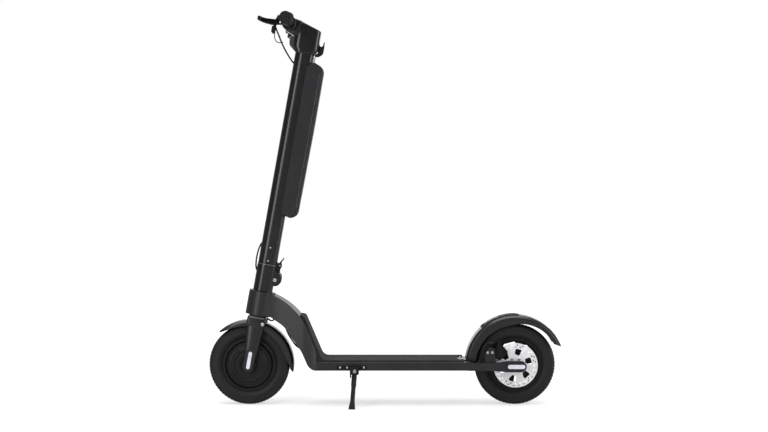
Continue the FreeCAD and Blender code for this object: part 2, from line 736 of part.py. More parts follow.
def bell():
    """Clamp on the bar, a post on it and the dome on the post."""
    dome_radius, wall, lift = 15.0, 1.5, bar_s + 16
    centre = V(bell_t, bell_y, lift)
    dome = Part.makeSphere(dome_radius, centre, V(0, 0, 1), 0, 90, 360)
    dome = dome.cut(Part.makeSphere(dome_radius - wall, centre, V(0, 0, 1), 0, 90, 360))
    post = tube_z(4, 0, bar_s + 9, lift + 3, bell_t, bell_y)
    stalk = tube_z(2.5, 0, lift + 3, lift + dome_radius - wall / 2, bell_t, bell_y)
    clamp = tube_y(bar_radius + 1.4, 0, bell_y - 6, bell_y + 6, bar_t, bar_s)
    return joined(clamp, post, stalk, dome).cut(tube_y(bar_radius, 0, -100, 0, bar_t, bar_s))


def brake_lever():
    """Mount with its cut-off switch and cable barrel, the lever's pin, and the lever."""
    y0, y1 = mount_y
    mount = tube_y(mount_radius, bar_radius, y0, y1, bar_t, bar_s)
    arm = slab([(bar_t - 12, 1066), (-101, 1062, 4), (-101, 1084, 5), (bar_t - 10, 1091, 3)], y0, y1)
    barrel = tube_z(5, 0, 1034, 1066, -100, lever_pin_y)
    switch = box(-108, -96, y0 - 1, y1 + 4, 1038, 1057)
    arm = joined(arm.cut(tube_y(bar_radius, 0, -120, 0, bar_t, bar_s)), mount, barrel, switch)
    arm = arm.cut(box(-103, -84, y0 - 2, y1 + 2, *lever_slot))
    pin_hole = tube_z(lever_pin_radius + running_gap, 0, 1050, 1100, lever_pin_t, lever_pin_y)
    pin = tube_z(lever_pin_radius, 0, 1063.5, 1084.5, lever_pin_t, lever_pin_y)
    keep("brake_lever_mount", on_stem(arm.cut(pin_hole)), on_stem(pin))

    blade = [(-88, -84.5, 2), (-99, -83, 4), (-112, -96, 12), (-133, -122, 20), (-142, -160, 60),
             (-146, -208, 3),
             (-139, -208, 3), (-135, -160, 60), (-125, -128, 16), (-106, -105, 10), (-89, -97, 4)]
    side = slab([(-150, lever_bottom, 2), (-150, lever_top - 8, 3), (-104, lever_top), (-80, lever_top),
                 (-80, lever_bottom)], -220, -70)
    under_slot = box(-110, -80, -102, -80, 1050, lever_slot[0] + 0.5)
    lever = plate(blade, lever_bottom, lever_top).common(side).cut(under_slot)
    keep("brake_lever", on_stem(lever.cut(pin_hole)))


def bell_striker():
    """Ring round the bell's post with a thumb tab."""
    low, high, bore = bar_s + 12.5, bar_s + 15.5, 4 + running_gap
    ring_piece = tube_z(7, bore, low, high, bell_t, bell_y)
    tab = box(bell_t - 34, bell_t - 5, bell_y - 4, bell_y + 4, low, high)
    thumb = slab([(bell_t - 36, bar_s + 4, 2), (bell_t - 32, bar_s + 4), (bell_t - 25, low),
                  (bell_t - 25, high, 2),
                  (bell_t - 36, high, 3)], bell_y - 6, bell_y + 6)
    return joined(ring_piece, tab, thumb).cut(tube_z(bore, 0, bar_s, bar_s + 30, bell_t, bell_y))


def throttle():
    """Clamp with its pod under the bar, and the thumb lever that turns beside it."""
    y0, y1 = throttle_y
    clamp = tube_y(throttle_radius, bar_radius, y0, y1, bar_t, bar_s)
    pod = slab([(bar_t + 4, bar_s - 6), (bar_t + 4, bar_s - 24, 4), (bar_t - 16, bar_s - 24, 4),
                (bar_t - 16, bar_s - 6)], y0, y1).cut(tube_y(bar_radius, 0, y0 - 10, y1 + 10, bar_t, bar_s))
    keep("throttle_body", on_stem(joined(clamp, pod)))
    y0, y1 = throttle_paddle_y
    collar = tube_y(throttle_radius - 1, bar_radius + running_gap, y0, y0 + 8.5, bar_t, bar_s)
    paddle = moved(slab([(-7, -14), (-9, -36, 4), (3, -38, 4), (6, -14)], y0, y1), bar_t, 0, bar_s)
    paddle = paddle.cut(tube_y(grip_flange_radius + 0.5, 0, y0 + 8, y1 + 16, bar_t, bar_s))
    paddle = paddle.cut(tube_y(throttle_radius - 3, 0, y0 - 10, y1 + 16, bar_t, bar_s))
    keep("throttle_lever", on_stem(joined(collar, paddle)))


def controls():
    brake_lever()
    keep("bell", on_stem(bell()))
    keep("bell_striker", on_stem(bell_striker()))
    throttle()
    keep("power_button", on_stem(button_rod(5.0, 6.5, -4.0)))


# ---- battery ----
def battery_outline(shrink=0.0):
    k = shrink
    return [(battery_front + k, battery_bottom + 8 + k, 8), (44, battery_bottom + k, 12),
            (battery_rear - 3 - k, battery_bottom + 3 + k, 26), (battery_rear - k, battery_bottom + 300),
            (battery_rear - 1 - k, battery_top - 14 - k, 26), (34, battery_top - k, 12),
            (battery_front + k, battery_top - 18 - k, 8)]


def battery():
    w, low, high = battery_half_width, battery_bottom - 80, battery_top + 30
    case = slab(battery_outline(), -w, w)
    hollow = slab(battery_outline(battery_wall), -w + battery_wall, w - battery_wall)
    around = fit_gap + battery_wall
    for gap, piece in ((fit_gap, "space"), (around, "wall")):
        stem_room = plate(stem_section(stem_half_depth + gap, stem_half_width + gap), low, high)
        dock_room = box(0, stem_half_depth + dock_depth + gap, -dock_half_width - gap, dock_half_width + gap,
                        low, high)
        if piece == "space":
            case = case.cut(stem_room).cut(dock_room)
        else:
            hollow = hollow.cut(stem_room).cut(dock_room)
    keep("battery_case", on_stem(case.cut(max(hollow.Solids, key=lambda q: q.Volume))))
    cells = []
    for row in range(6):
        s = battery_bottom + 38 + row * 68
        cells += [tube_z(9, 0, s, s + 65, 51.5, y) for y in (-18.5, 0, 18.5)]
    keep("battery_cells", *[on_stem(c) for c in cells])
    dock = box(stem_half_depth, stem_half_depth + dock_depth, -dock_half_width, dock_half_width,
               battery_bottom + 6, 990)
    keep("battery_dock", on_stem(dock))


# ---- frame ----
def neck_outlines():
    """Side outline (X, Z) and half of the plan outline (X, Y) of the arch that joins head shell and deck."""
    def at(t, s):
        p = on_stem(Part.Vertex(t, 0, s)).Point
        return p.x, p.z

    side = [at(0, shell_top - 3), (*at(shell_radius * 0.8, shell_top - 3), 8), (-265, 311, 225),
            (-204, deck_side_top, 30), (deck_front + 14, deck_side_top), (deck_front + 14, deck_bottom),
            (-236, deck_bottom, 34), (-262, 172, 90), (-318, 250, 60), at(shell_radius - 2, shell_bottom + 3),
            at(0, shell_bottom + 3)]
    plan = [(-440, 6 - shell_radius), (-340, 2 - shell_radius, 200), (-258, -58, 90),
            (deck_front - 4, -deck_half_width, 90), (deck_front + 20, -deck_half_width)]
    return side, plan


def arch(wall):
    """Arch of the neck, its faces set in by a wall's thickness; 0 is the outside."""
    side, half_plan = neck_outlines()
    plan = half_plan + [(c[0], -c[1], *c[2:]) for c in half_plan[::-1]]
    side_face = Part.Face(rounded_wire(side, lambda a, b: V(a, wall - deck_half_width - 5, b)))
    plan_face = Part.Face(rounded_wire(plan, lambda a, b: V(a, b, 50)))
    if wall:
        side_face, plan_face = side_face.makeOffset2D(-wall), plan_face.makeOffset2D(-wall)
    side_body = side_face.extrude(V(0, 2 * (deck_half_width + 5 - wall), 0))
    body = side_body.common(plan_face.extrude(V(0, 0, 350)))
    return body.cut(box(deck_front, 0, -100, 100, 0, 400))


def neck_tongue(wall):
    """Box that carries the neck on inside the deck; a wall sets in every face but the front one."""
    k = deck_wall + fit_gap + wall
    return box(deck_front - 6 - wall, deck_front + 60 - wall, -deck_half_width + k, deck_half_width - k,
               deck_bottom + k, deck_side_top - k)


def neck_envelope():
    """The neck with nothing taken out of it."""
    return joined(arch(0), on_stem(tube_z(shell_radius, 0, shell_bottom, shell_top)), neck_tongue(0))


def neck():
    body = neck_envelope()
    inside = arch(neck_wall).cut(on_stem(tube_z(shell_radius, 0, shell_bottom - 40, shell_top + 40)))
    body = body.cut(max(inside.Solids, key=lambda q: q.Volume)).cut(neck_tongue(neck_wall))
    bore = on_stem(tube_z(headset_radius, 0, shell_bottom - 1, shell_top + 1))
    keep("neck_frame", body.cut(bore))
    bearings = [on_stem(tube_z(headset_radius, steerer_radius + running_gap, s, s + headset_height))
                for s in (shell_bottom + 1, shell_top - headset_height - 1)]
    keep("headset_bearings", *bearings)


def deck():
    w, k = deck_half_width, deck_wall
    section = [(-w, deck_bottom, 6), (w, deck_bottom, 6), (w, deck_side_top, 2), (-w, deck_side_top, 2)]
    outer = Part.Face(rounded_wire(section, lambda y, z: V(deck_front, y, z)))
    outer = outer.extrude(V(deck_rear - deck_front, 0, 0))
    inner = box(deck_front - 1, deck_rear + 1, -w + k, w - k, deck_bottom + k, deck_side_top - k)
    keep("deck_frame", outer.cut(inner))
    keep("motor_controller", box(-60, 60, -38, 38, deck_bottom + k, deck_side_top - k - 2))


def deck_mat():
    """Rubber mat over the deck and up the back of the neck."""
    t = mat_thickness
    w = deck_half_width - mat_margin
    side = slab([(deck_rear - 14, deck_side_top), (deck_rear - 14, deck_side_top + t, 2),
                 (-196, deck_side_top + t, 30),
                 (-254, 287, 190), (-268, 284, 3), (-262, 200), (-225, deck_side_top)], -w, w)
    plan = plate([(-275, -36, 8), (-258, -53, 90), (deck_front - 4, -w, 90), (deck_rear - 14, -w, 4),
                  (deck_rear - 14, w, 4), (deck_front - 4, w, 90), (-258, 53, 90), (-275, 36, 8)], 50, 400)
    notch = box(deck_rear - fender_foot - fit_gap, deck_rear, -rear_fender_half, rear_fender_half, 100, 200)
    mat = side.common(plan).cut(neck_envelope()).cut(notch)
    keep("deck_mat", max(mat.Solids, key=lambda q: q.Volume))


def rear_fork():
    """Two arms that carry the rear axle, on a plate that closes the rear end of the deck."""
    inside = deck_half_width - arm_thickness
    front = deck_rear - rear_x
    z0 = deck_bottom - wheel_radius
    z1 = deck_side_top - wheel_radius
    arm = slab([(front, z0), (-75, z0, 60), (-30, -arm_half_height, 30), (31, -arm_half_height, 16.8),
                (31, arm_half_height, 16.8), (-24, arm_half_height, 30), (-60, z0 + arm_bar_height, 60),
                (front, z0 + arm_bar_height)], inside, deck_half_width)
    root = box(front - 60, front + 5, inside, deck_half_width - deck_wall - 0.2, z0 + deck_wall + 0.4,
               z1 - deck_wall - 0.4)
    arm = joined(arm, root)
    arm = arm.cut(tube_y(axle_radius + running_gap, 0, inside - 1, deck_half_width + 1))
    arm = arm.cut(tube_y(nut_radius + 1.2, 0, deck_half_width - nut_height - 1, deck_half_width + 1))
    end_plate = box(front, front + end_plate_thickness, -deck_half_width, deck_half_width, z0, z1)
    end_plate = end_plate.cut(Part.makeCylinder(cable_radius + 1, 20, V(front - 5, caliper_cable_y, 3),
                                                V(1, 0, 0)))
    lug = slab([(-98, 0), (-62, 0), (-65, 30, 6), (-68, 56, 6), (-84, 60, 8), (-98, 40, 8)], -inside - 3,
               caliper_face - 0.3)
    body = joined(arm, mirrored(arm), end_plate, lug)
    keep("rear_fork", on_rear(body))
    end = deck_half_width - 1.5
    seat = deck_half_width - nut_height - 1
    nut = axle_nut(seat, seat + nut_height - 0.5)
    spacer = tube_y(9, axle_radius, hub_half_width + 0.3, inside)
    keep("rear_axle", on_rear(tube_y(axle_radius, 0, -end, end)), on_rear(nut), on_rear(mirrored(nut)),
         on_rear(spacer), on_rear(mirrored(spacer)))
    cover = turned(stadium(64, 26, deck_half_width, deck_half_width + 2.0), 90)
    keep("rear_axle_covers", on_rear(cover), on_rear(mirrored(cover)))
    strip = turned(stadium(54, 13, deck_half_width + 2.0, deck_half_width + 3.2), 90)
    keep("rear_reflectors", on_rear(strip), on_rear(mirrored(strip)))


def when_folded(t, s):
    """Angle in degrees and radius from the rear axle of a point of the stem, with the stem folded down."""
    hinge = on_stem(Part.Vertex(fold_t, 0, fold_s)).Point
    p = turned(on_stem(Part.Vertex(t, 0, s)), fold_limit, V(0, 1, 0), hinge).Point
    x, z = p.x - rear_x, p.z - wheel_radius
    return math.degrees(math.atan2(z, x)), math.hypot(x, z)


def rear_fender():
    r = rear_fender_radius
    end = 180 - math.degrees(math.asin((deck_side_top - wheel_radius) / r)) + 2
    shell = ring(fender_profile(r, rear_fender_half, rear_flange), rear_fender_tip, end - rear_fender_tip)
    shift, towards = rear_edge_shift
    across = (shift * math.cos(math.radians(towards)), shift * math.sin(math.radians(towards)))
    shell = shell.cut(tube_y(rear_edge_radius, 0, -60, 60, *across)).cut(tip_cut(r, rear_fender_tip, 19, 6.5))
    below = box(-200, -100, -60, 60, -60, deck_side_top - wheel_radius)
    foot = plate([(deck_rear - fender_foot - rear_x, 2 - rear_fender_half, 8), (8 - r, 2 - rear_fender_half),
                  (8 - r, rear_fender_half - 2), (deck_rear - fender_foot - rear_x, rear_fender_half - 2, 8)],
                 deck_side_top - wheel_radius, deck_side_top - wheel_radius + 3)
    shell = joined(shell, foot).cut(below)
    sink = 1.2
    light_space = ring([(r - sink, -17), (r + 3, -17), (r + 3, 17), (r - sink, 17)], 32, 14)
    slot_rear = when_folded(stem_hook_t, stem_hook_top)[0] - hook_margin
    slot_front = when_folded(stem_hook_t, stem_hook_bottom)[0] + hook_margin
    w = hook_half_width + 2
    slot = ring([(r - 10, -w), (r + 10, -w), (r + 10, w), (r - 10, w)], slot_rear, slot_front - slot_rear)
    rails = []
    for sign in (-1, 1):
        y0, y1 = sorted((sign * (catch_half_width + 0.3), sign * (catch_half_width + 3)))
        rails.append(ring([(r - 2, y0), (r + catch_thickness, y0), (r + catch_thickness, y1), (r - 2, y1)],
                          slot_rear - 4, catch_length + catch_travel + 2))
    shell = joined(shell, *rails).cut(light_space).cut(slot)
    keep("rear_fender", on_rear(shell))
    light = ring([(r - sink, -16.8), (r + 0.8, -16.8), (r + 0.8, 16.8), (r - sink, 16.8)], 32.1, 13.8)
    keep("tail_light", on_rear(light))

    low, high, w2 = r + seat_gap, r + seat_gap + catch_thickness, catch_half_width
    catch = ring([(low, -w2), (high, -w2, 1), (high, w2, 1), (low, w2)], slot_rear - 3.5, catch_length)
    window = ring([(r - 5, -w), (r + 8, -w), (r + 8, w), (r - 5, w)], slot_rear, slot_front - slot_rear + 1.5)
    ribs = [ring([(high - 0.5, 3 - w2), (high + 1, 3.5 - w2), (high + 1, w2 - 3.5), (high - 0.5, w2 - 3)],
                 slot_front + 5 + k * 1.8, 0.8) for k in range(8)]
    keep("fold_catch", on_rear(joined(catch.cut(window), *ribs)))


# ---- rear brake ----
def caliper():
    """Calliper in front of the disc; its body is drawn at +X of the axle and turned up and over."""
    face, cap, reach = caliper_face, caliper_cap_y, piston_reach
    middle = disc_y + disc_thickness / 2
    body = slab([(46, -20, 6), (78, -24, 7), (86, -10, 5), (86, 12, 5), (76, 22, 7), (48, 18, 6)], face,
                caliper_inner_y)
    body = body.cut(box(40, disc_radius + 6.5, middle - disc_slot, middle + disc_slot, -26, 26))
    body = joined(body, tube_y(13, 0, cap, face + 2, reach, 0))
    body = body.cut(tube_y(pad_radius + 0.2, 0, middle - 8, middle + 8, reach - 2, 0))
    body = body.cut(tube_y(4 + running_gap, 0, cap - 1, face + 4, reach, 0))
    body = turned(body, caliper_turn)
    bracket = slab([(-95, 30, 6), (-62, 26), (-58, 50), (-66, 56, 4), (-93, 54, 6)], face, face + 5.5)
    post = slab([(-86, 50), (-72, 50), (-74, 68), (-82, 68)], face, face + 5.5)
    cable_stop = Part.makeCylinder(5, 16, V(-86, caliper_cable_y, 70), V(1, 0, 0))
    keep("caliper_body", on_rear(joined(body, bracket, post, cable_stop)))
    disc_faces = (middle + disc_thickness / 2 + pad_clearance, middle - disc_thickness / 2 - pad_clearance)
    backs = (middle + disc_slot + 3, middle - disc_slot - 3)
    pads = [tube_y(pad_radius, 0, *sorted(ends), reach - 2, 0) for ends in zip(disc_faces, backs)]
    keep("brake_pads", *[on_rear(turned(p, caliper_turn)) for p in pads])
    shaft = turned(tube_y(4, 0, cap - 4, face + 3.5, reach, 0), caliper_turn)
    arm = slab([(-61, 38, 10), (-58, 80, 4), (-50, 81, 4), (-38, 38, 10), (-49, 26, 10)], cap - 4, cap - 0.5)
    keep("caliper_arm", on_rear(joined(arm, shaft)))


# ---- kickstand ----
def stand_place(shape, lean=stand_lean):
    """Drawn about its pin with the leg down; leans forward, then splays outward."""
    shape = turned(shape, lean)
    shape = turned(shape, -stand_splay, V(1, 0, 0))
    return moved(shape, stand_x, stand_y, stand_z)


def kickstand():
    """Bracket on the side of the deck, leg and rubber foot; returns the pin, drawn in place."""
    side = -deck_half_width
    plate_body = slab([(-152, 119, 3), (-56, 119, 3), (-56, 131, 3), (-152, 131, 3)], side - 2, side)
    clevis = slab([(-15, -19, 3), (-10.8, -19, 1.5), (-10.8, -9), (13.5, -9, 4), (13.5, 17, 3), (-15, 17, 3)],
                  -9.2, 8.6)
    clevis = stand_place(clevis.cut(box(-10.8, 20, -stand_room, stand_room, -30, 10)), 0)
    body = joined(plate_body, clevis.cut(box(-200, 0, side, 0, 50, 200)))
    body = body.cut(stand_place(tube_y(stand_pin_radius + running_gap, 0, -20, 20), 0))
    body = body.cut(stand_place(tube_y(12.5, 0, -stand_room, stand_room), 0))
    keep("kickstand_bracket", max(body.Solids, key=lambda q: q.Volume))

    drop = stand_z / math.cos(math.radians(stand_splay)) / math.cos(math.radians(stand_lean))
    head = tube_y(9.5, 0, -stand_head_half, stand_head_half)
    neck_piece = tube_z(8.2, 0, -26, -4).common(box(-20, 20, -stand_head_half, stand_head_half, -30, 0))
    leg = joined(head, neck_piece, tube_z(8.2, 0, -46, -25), tube_z(stand_radius, 0, 12 - drop, -40))
    keep("kickstand_leg", stand_place(leg.cut(tube_y(stand_pin_radius + running_gap, 0, -20, 20))))
    top = [(-7.6, -7.6, 7), (7.6, -7.6, 7), (7.6, 7.6, 7), (-7.6, 7.6, 7)]
    sole = [(-12, -8.6, 5), (11, -8.6, 5), (11, 8, 5), (-12, 8, 5)]
    wires = [rounded_wire(top, lambda a, b: V(a, b, 22 - drop)),
             rounded_wire(sole, lambda a, b: V(a, b, -drop - 8))]
    foot = Part.makeLoft(wires, True, True).cut(tube_z(stand_radius, 0, 12 - drop, 30 - drop))
    keep("kickstand_foot", stand_place(foot).common(box(-300, 200, -200, 0, 0, 60)))
    pin_head = moved(turned(screw(5.5, 2.5), 90, V(1, 0, 0)), 0, -9.2, 0)
    return stand_place(joined(tube_y(stand_pin_radius, 0, -9.7, 9.1), pin_head), 0)


# ---- cables and screws ----
def cables():
    fold = [(-20, 0, 400), (-27, 0, 390), (-33, 0, 376), (-36.5, 0, 358), (-37.5, 0, 338), (-36.5, 0, 318),
            (-33, 0, 302), (-25, 0, 291), (-17, 0, 284)]
    keep("fold_cable", on_stem(cable(fold, cable_radius)))
    brake = cable([(-100, -91, 1033), (-98, -88, 1020), (-89, -77, 1007), (-76, -57, 998), (-62, -34, 990),
                   (-50, -14, 981), (-38, -2, 970), (-26, 0, 959), (-15, 0, 949)], cable_radius)
    keep("bar_cables", on_stem(brake))
    keep("motor_cable", cable([(-371.4, 14, 268.4), (-365, 16, 262.5), (-356, 18, 262), (-350.5, 19, 270.5)],
                              cable_radius))
    under_neck = cable([(-312, -18, 238), (-306, -18, 225), (-298, -18, 211), (-289, -18, 197),
                        (-279, -18, 184.5),
                        (-266, -18, 177)], cable_radius)
    to_caliper = cable([(270, -52.5, 130), (285, -52.5, 131), (298, -52.5, 142), (304, -52.5, 160),
                        (307, -52.5, 178),
                        (313, -52.5, 193), (323.8, -52.5, 197)], cable_radius)
    keep("frame_cables", under_neck.cut(neck_envelope()), to_caliper)


def screws(stand_pin):
    frame = [stand_pin]
    bracket = -deck_half_width - 2
    frame += [screw_at(3.2, 1.6, (x, bracket, 125), (0, -1, 0)) for x in (-140, -118, -66)]
    foot = deck_rear - fender_foot + 9
    frame += [screw_at(4.0, 2.2, (foot, y, deck_side_top + 3), (0, 0, 1)) for y in (-24, 24)]
    lug_face = -(deck_half_width - arm_thickness) - 3
    frame += [screw_at(4.2, 3.0, (rear_x + x, lug_face, wheel_radius + 42), (0, -1, 0)) for x in (-89, -75)]
    keep("frame_screws", *frame)
    stem = [screw_at(2.6, 1.2, (2, side * stem_half_width, s), (0, side, 0))
            for side in (-1, 1) for s in (334, 376)]
    latch_pin = tube_y(latch_pin_radius, 0, -ear_inside + 0.5, ear_inside - 0.5, latch_t, latch_s)
    keep("stem_screws", *[on_stem(x) for x in stem], on_stem(latch_pin))


def build():
    front_wheel()
    rear_wheel()
    fork()
    front_fender()
    fold_base()
    stem_foot()
    stem_tube()
    head()
    headlight()
    stem_hook()
    handlebar()
    controls()
    keep("display", on_stem(display_slab(0.0).cut(button_rod(5.3, 8, -6))))
    battery()
    neck()
    deck()
    deck_mat()
    rear_fork()
    rear_fender()
    caliper()
    screws(kickstand())
    cables()


def export():
    """Writes each sub-part's STEP file, and says so if a piece fell apart or isn't a sound solid."""
    os.makedirs("parts", exist_ok=True)
    for name, solids in PIECES.items():
        found = [x for s in solids for x in s.Solids]
        if len(found) != len(solids) or not all(x.isValid() and x.Volume > 0 for x in found):
            print("check", name, "wanted", len(solids), "got", [round(x.Volume, 1) for x in found])
        shape = found[0] if len(found) == 1 else Part.makeCompound(found)
        shape.exportStep(os.path.join("parts", name + ".step"))
    print(len(PIECES), "nodes")


build()
export()
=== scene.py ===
"""Electric kick scooter: the finish of every surface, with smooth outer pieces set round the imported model.

Lengths are millimetres until a mesh is made, and metres from there on. Pieces on the steered part are drawn
in the steering frame, whose third axis (s) runs up the steering axis from the front axle and whose first axis
(t) points to the rear of it; the others are drawn in the row frame or from an axle.
"""

import json
import logging
import math
from dataclasses import dataclass
from enum import Enum
from typing import Optional, Sequence, Union

import bpy
import numpy as np
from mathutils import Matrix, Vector


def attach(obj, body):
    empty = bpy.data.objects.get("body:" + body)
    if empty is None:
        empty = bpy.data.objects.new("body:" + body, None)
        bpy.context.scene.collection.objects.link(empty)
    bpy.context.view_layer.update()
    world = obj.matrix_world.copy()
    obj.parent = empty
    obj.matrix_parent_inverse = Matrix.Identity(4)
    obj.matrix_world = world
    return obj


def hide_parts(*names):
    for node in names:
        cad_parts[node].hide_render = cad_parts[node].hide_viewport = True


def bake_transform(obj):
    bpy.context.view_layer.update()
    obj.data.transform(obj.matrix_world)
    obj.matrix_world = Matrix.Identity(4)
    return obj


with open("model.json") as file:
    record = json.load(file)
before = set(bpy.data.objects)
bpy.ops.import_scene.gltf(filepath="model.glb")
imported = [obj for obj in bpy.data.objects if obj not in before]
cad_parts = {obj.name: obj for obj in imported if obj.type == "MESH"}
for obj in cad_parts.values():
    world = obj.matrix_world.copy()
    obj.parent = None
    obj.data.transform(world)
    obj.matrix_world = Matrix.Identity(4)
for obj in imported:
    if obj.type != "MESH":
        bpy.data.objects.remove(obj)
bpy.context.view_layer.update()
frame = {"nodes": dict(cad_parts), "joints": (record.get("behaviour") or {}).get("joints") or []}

log = logging.getLogger("scooter")
MM = 0.001
TINY = 1e-9
SHARPEST_INSET = 0.5

Outline = Sequence[Sequence[float]]


class Body(Enum):
    """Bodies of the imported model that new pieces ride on."""

    ROOT = "root"
    STEERING = "steering"
    FRONT_WHEEL = "front_wheel"
    REAR_WHEEL = "rear_wheel"
    STEM = "stem"
    BATTERY = "battery"


# ---------------------------------------------------------------- frames

@dataclass(frozen=True)
class Axes:
    """A local frame in the row frame, in millimetres.

    Args:
        origin: its origin.
        x, y, z: its unit axes.
    """

    origin: np.ndarray
    x: np.ndarray
    y: np.ndarray
    z: np.ndarray

    def place(self, points: np.ndarray) -> np.ndarray:
        """Row-frame places of local points: origin plus each coordinate times its axis."""
        p = np.asarray(points, float)
        return self.origin + p[..., 0:1] * self.x + p[..., 1:2] * self.y + p[..., 2:3] * self.z


def joint(name: str) -> dict:
    """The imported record's entry for a joint."""
    return next(j for j in frame["joints"] if j["name"] == name)


def joint_place(name: str) -> np.ndarray:
    """A point on a joint's axis, in millimetres."""
    return np.array(joint(name)["pos_m"], float) / MM


EX, EY, EZ = np.eye(3)
FRONT = Axes(joint_place("steering"), EX, EY, EZ)
REAR = Axes(joint_place("rear_wheel_spin"), EX, EY, EZ)
UP = np.array(joint("steering")["axis"], float) / np.linalg.norm(joint("steering")["axis"])
STEM = Axes(FRONT.origin, np.cross(EY, UP), EY, UP)


# ---------------------------------------------------------------- surfaces

@dataclass
class Skin:
    """Vertices and faces of a surface.

    Args:
        points: vertices, one row each.
        faces: each face's vertex numbers.
    """

    points: np.ndarray
    faces: list

    def joined(self, *others: "Skin") -> "Skin":
        """This skin and others as one, each one's vertex numbers moved past those before it.

        Args:
            others: the other skins.

        Returns:
            The joined skin.
        """
        points, faces, start = [self.points], list(self.faces), len(self.points)
        for other in others:
            points.append(other.points)
            faces += [[i + start for i in f] for f in other.faces]
            start += len(other.points)
        return Skin(np.concatenate(points), faces)

    def placed(self, axes: Axes) -> "Skin":
        """This skin with its local points put in the row frame."""
        return Skin(axes.place(self.points), self.faces)

    def mirrored(self) -> "Skin":
        """The same skin on the other side of the plane y = 0, its faces still outward."""
        return Skin(self.points * [1, -1, 1], [list(reversed(f)) for f in self.faces])


def grid(points: np.ndarray, wrap_rows: bool = False, wrap_columns: bool = False, caps: bool = False) -> Skin:
    """Quads over a grid of points, outward where rows run along and columns run round by the right-hand rule.

    Args:
        points: array of rows, columns, 3.
        wrap_rows: whether the last row joins the first.
        wrap_columns: whether the last column joins the first.
        caps: whether the first and last rows are closed by one flat face each.

    Returns:
        The skin.
    """
    rows, columns = points.shape[:2]
    index = np.arange(rows * columns).reshape(rows, columns)
    if wrap_rows:
        index = np.vstack([index, index[:1]])
    if wrap_columns:
        index = np.hstack([index, index[:, :1]])
    quads = np.stack([index[:-1, :-1], index[:-1, 1:], index[1:, 1:], index[1:, :-1]], axis=-1)
    faces = quads.reshape(-1, 4).tolist()
    if caps:
        faces.append(np.arange(columns)[::-1].tolist())
        faces.append((np.arange(columns) + (rows - 1) * columns).tolist())
    return Skin(points.reshape(-1, 3), faces)


def smooth_outline(corners: Outline, step: float = 1.5) -> np.ndarray:
    """Closed outline through corners (a, b) or (a, b, radius), each rounded by an arc of its radius.

    Each arc is the circle of that radius tangent to both edges, sampled evenly by angle, about step apart. A
    radius is made smaller where two roundings would meet on one edge.

    Args:
        corners: the corners in order.
        step: greatest distance between points on an arc.

    Returns:
        Array of points by 2.
    """
    c = np.array([[k[0], k[1], k[2] if len(k) > 2 else 0.0] for k in corners], float)
    here, radius = c[:, :2], c[:, 2].copy()
    before, after = np.roll(here, 1, 0), np.roll(here, -1, 0)
    u = (before - here) / np.linalg.norm(before - here, axis=1, keepdims=True)
    v = (after - here) / np.linalg.norm(after - here, axis=1, keepdims=True)
    half = np.arccos(np.clip((u * v).sum(1), -1, 1)) / 2
    back = radius / np.tan(half)
    length = np.linalg.norm(after - here, axis=1)
    room = np.minimum(1, 0.98 * length / np.maximum(back + np.roll(back, -1), TINY))
    share = np.minimum(room, np.roll(room, 1))
    radius, back = radius * share, back * share
    out = []
    for i in range(len(c)):
        if radius[i] < 1e-6:
            out.append(here[i][None])
            continue
        middle = u[i] + v[i]
        centre = here[i] + middle / np.linalg.norm(middle) * radius[i] / math.sin(half[i])
        a, b = here[i] + u[i] * back[i] - centre, here[i] + v[i] * back[i] - centre
        start = math.atan2(a[1], a[0])
        sweep = math.remainder(math.atan2(b[1], b[0]) - start, 2 * math.pi)
        n = max(3, int(abs(sweep) * radius[i] / step) + 2)
        angle = start + np.linspace(0, sweep, n)
        out.append(centre + radius[i] * np.stack([np.cos(angle), np.sin(angle)], 1))
    return np.concatenate(out)


def counter_clockwise(outline: np.ndarray) -> np.ndarray:
    """The outline, turned round if its area is negative: the sum of each edge's cross product.

    Args:
        outline: points by 2.

    Returns:
        The same points, counter-clockwise.
    """
    x, y = outline.T
    area = (x * np.roll(y, -1) - np.roll(x, -1) * y).sum()
    return outline if area > 0 else outline[::-1]


def inset(outline: np.ndarray, distance: float) -> np.ndarray:
    """A counter-clockwise outline moved inward: each point goes along the mean of its two edges' normals.

    The mean is scaled so that each edge moves by the distance, and held back at corners sharper than a limit.

    Args:
        outline: points by 2.
        distance: how far each edge moves.

    Returns:
        The moved points.
    """
    edge = np.roll(outline, -1, 0) - outline
    length = np.maximum(np.linalg.norm(edge, axis=1, keepdims=True), TINY)
    normal = np.stack([-edge[:, 1], edge[:, 0]], 1) / length
    mean = normal + np.roll(normal, 1, 0)
    mean /= np.maximum((mean * normal).sum(1, keepdims=True), SHARPEST_INSET)
    return outline + mean * distance


class Plane(Enum):
    """Which two local axes an outline lies in; the third is the way it is carried."""

    XZ = (0, 2, 1)
    XY = (0, 1, 2)
    YZ = (1, 2, 0)


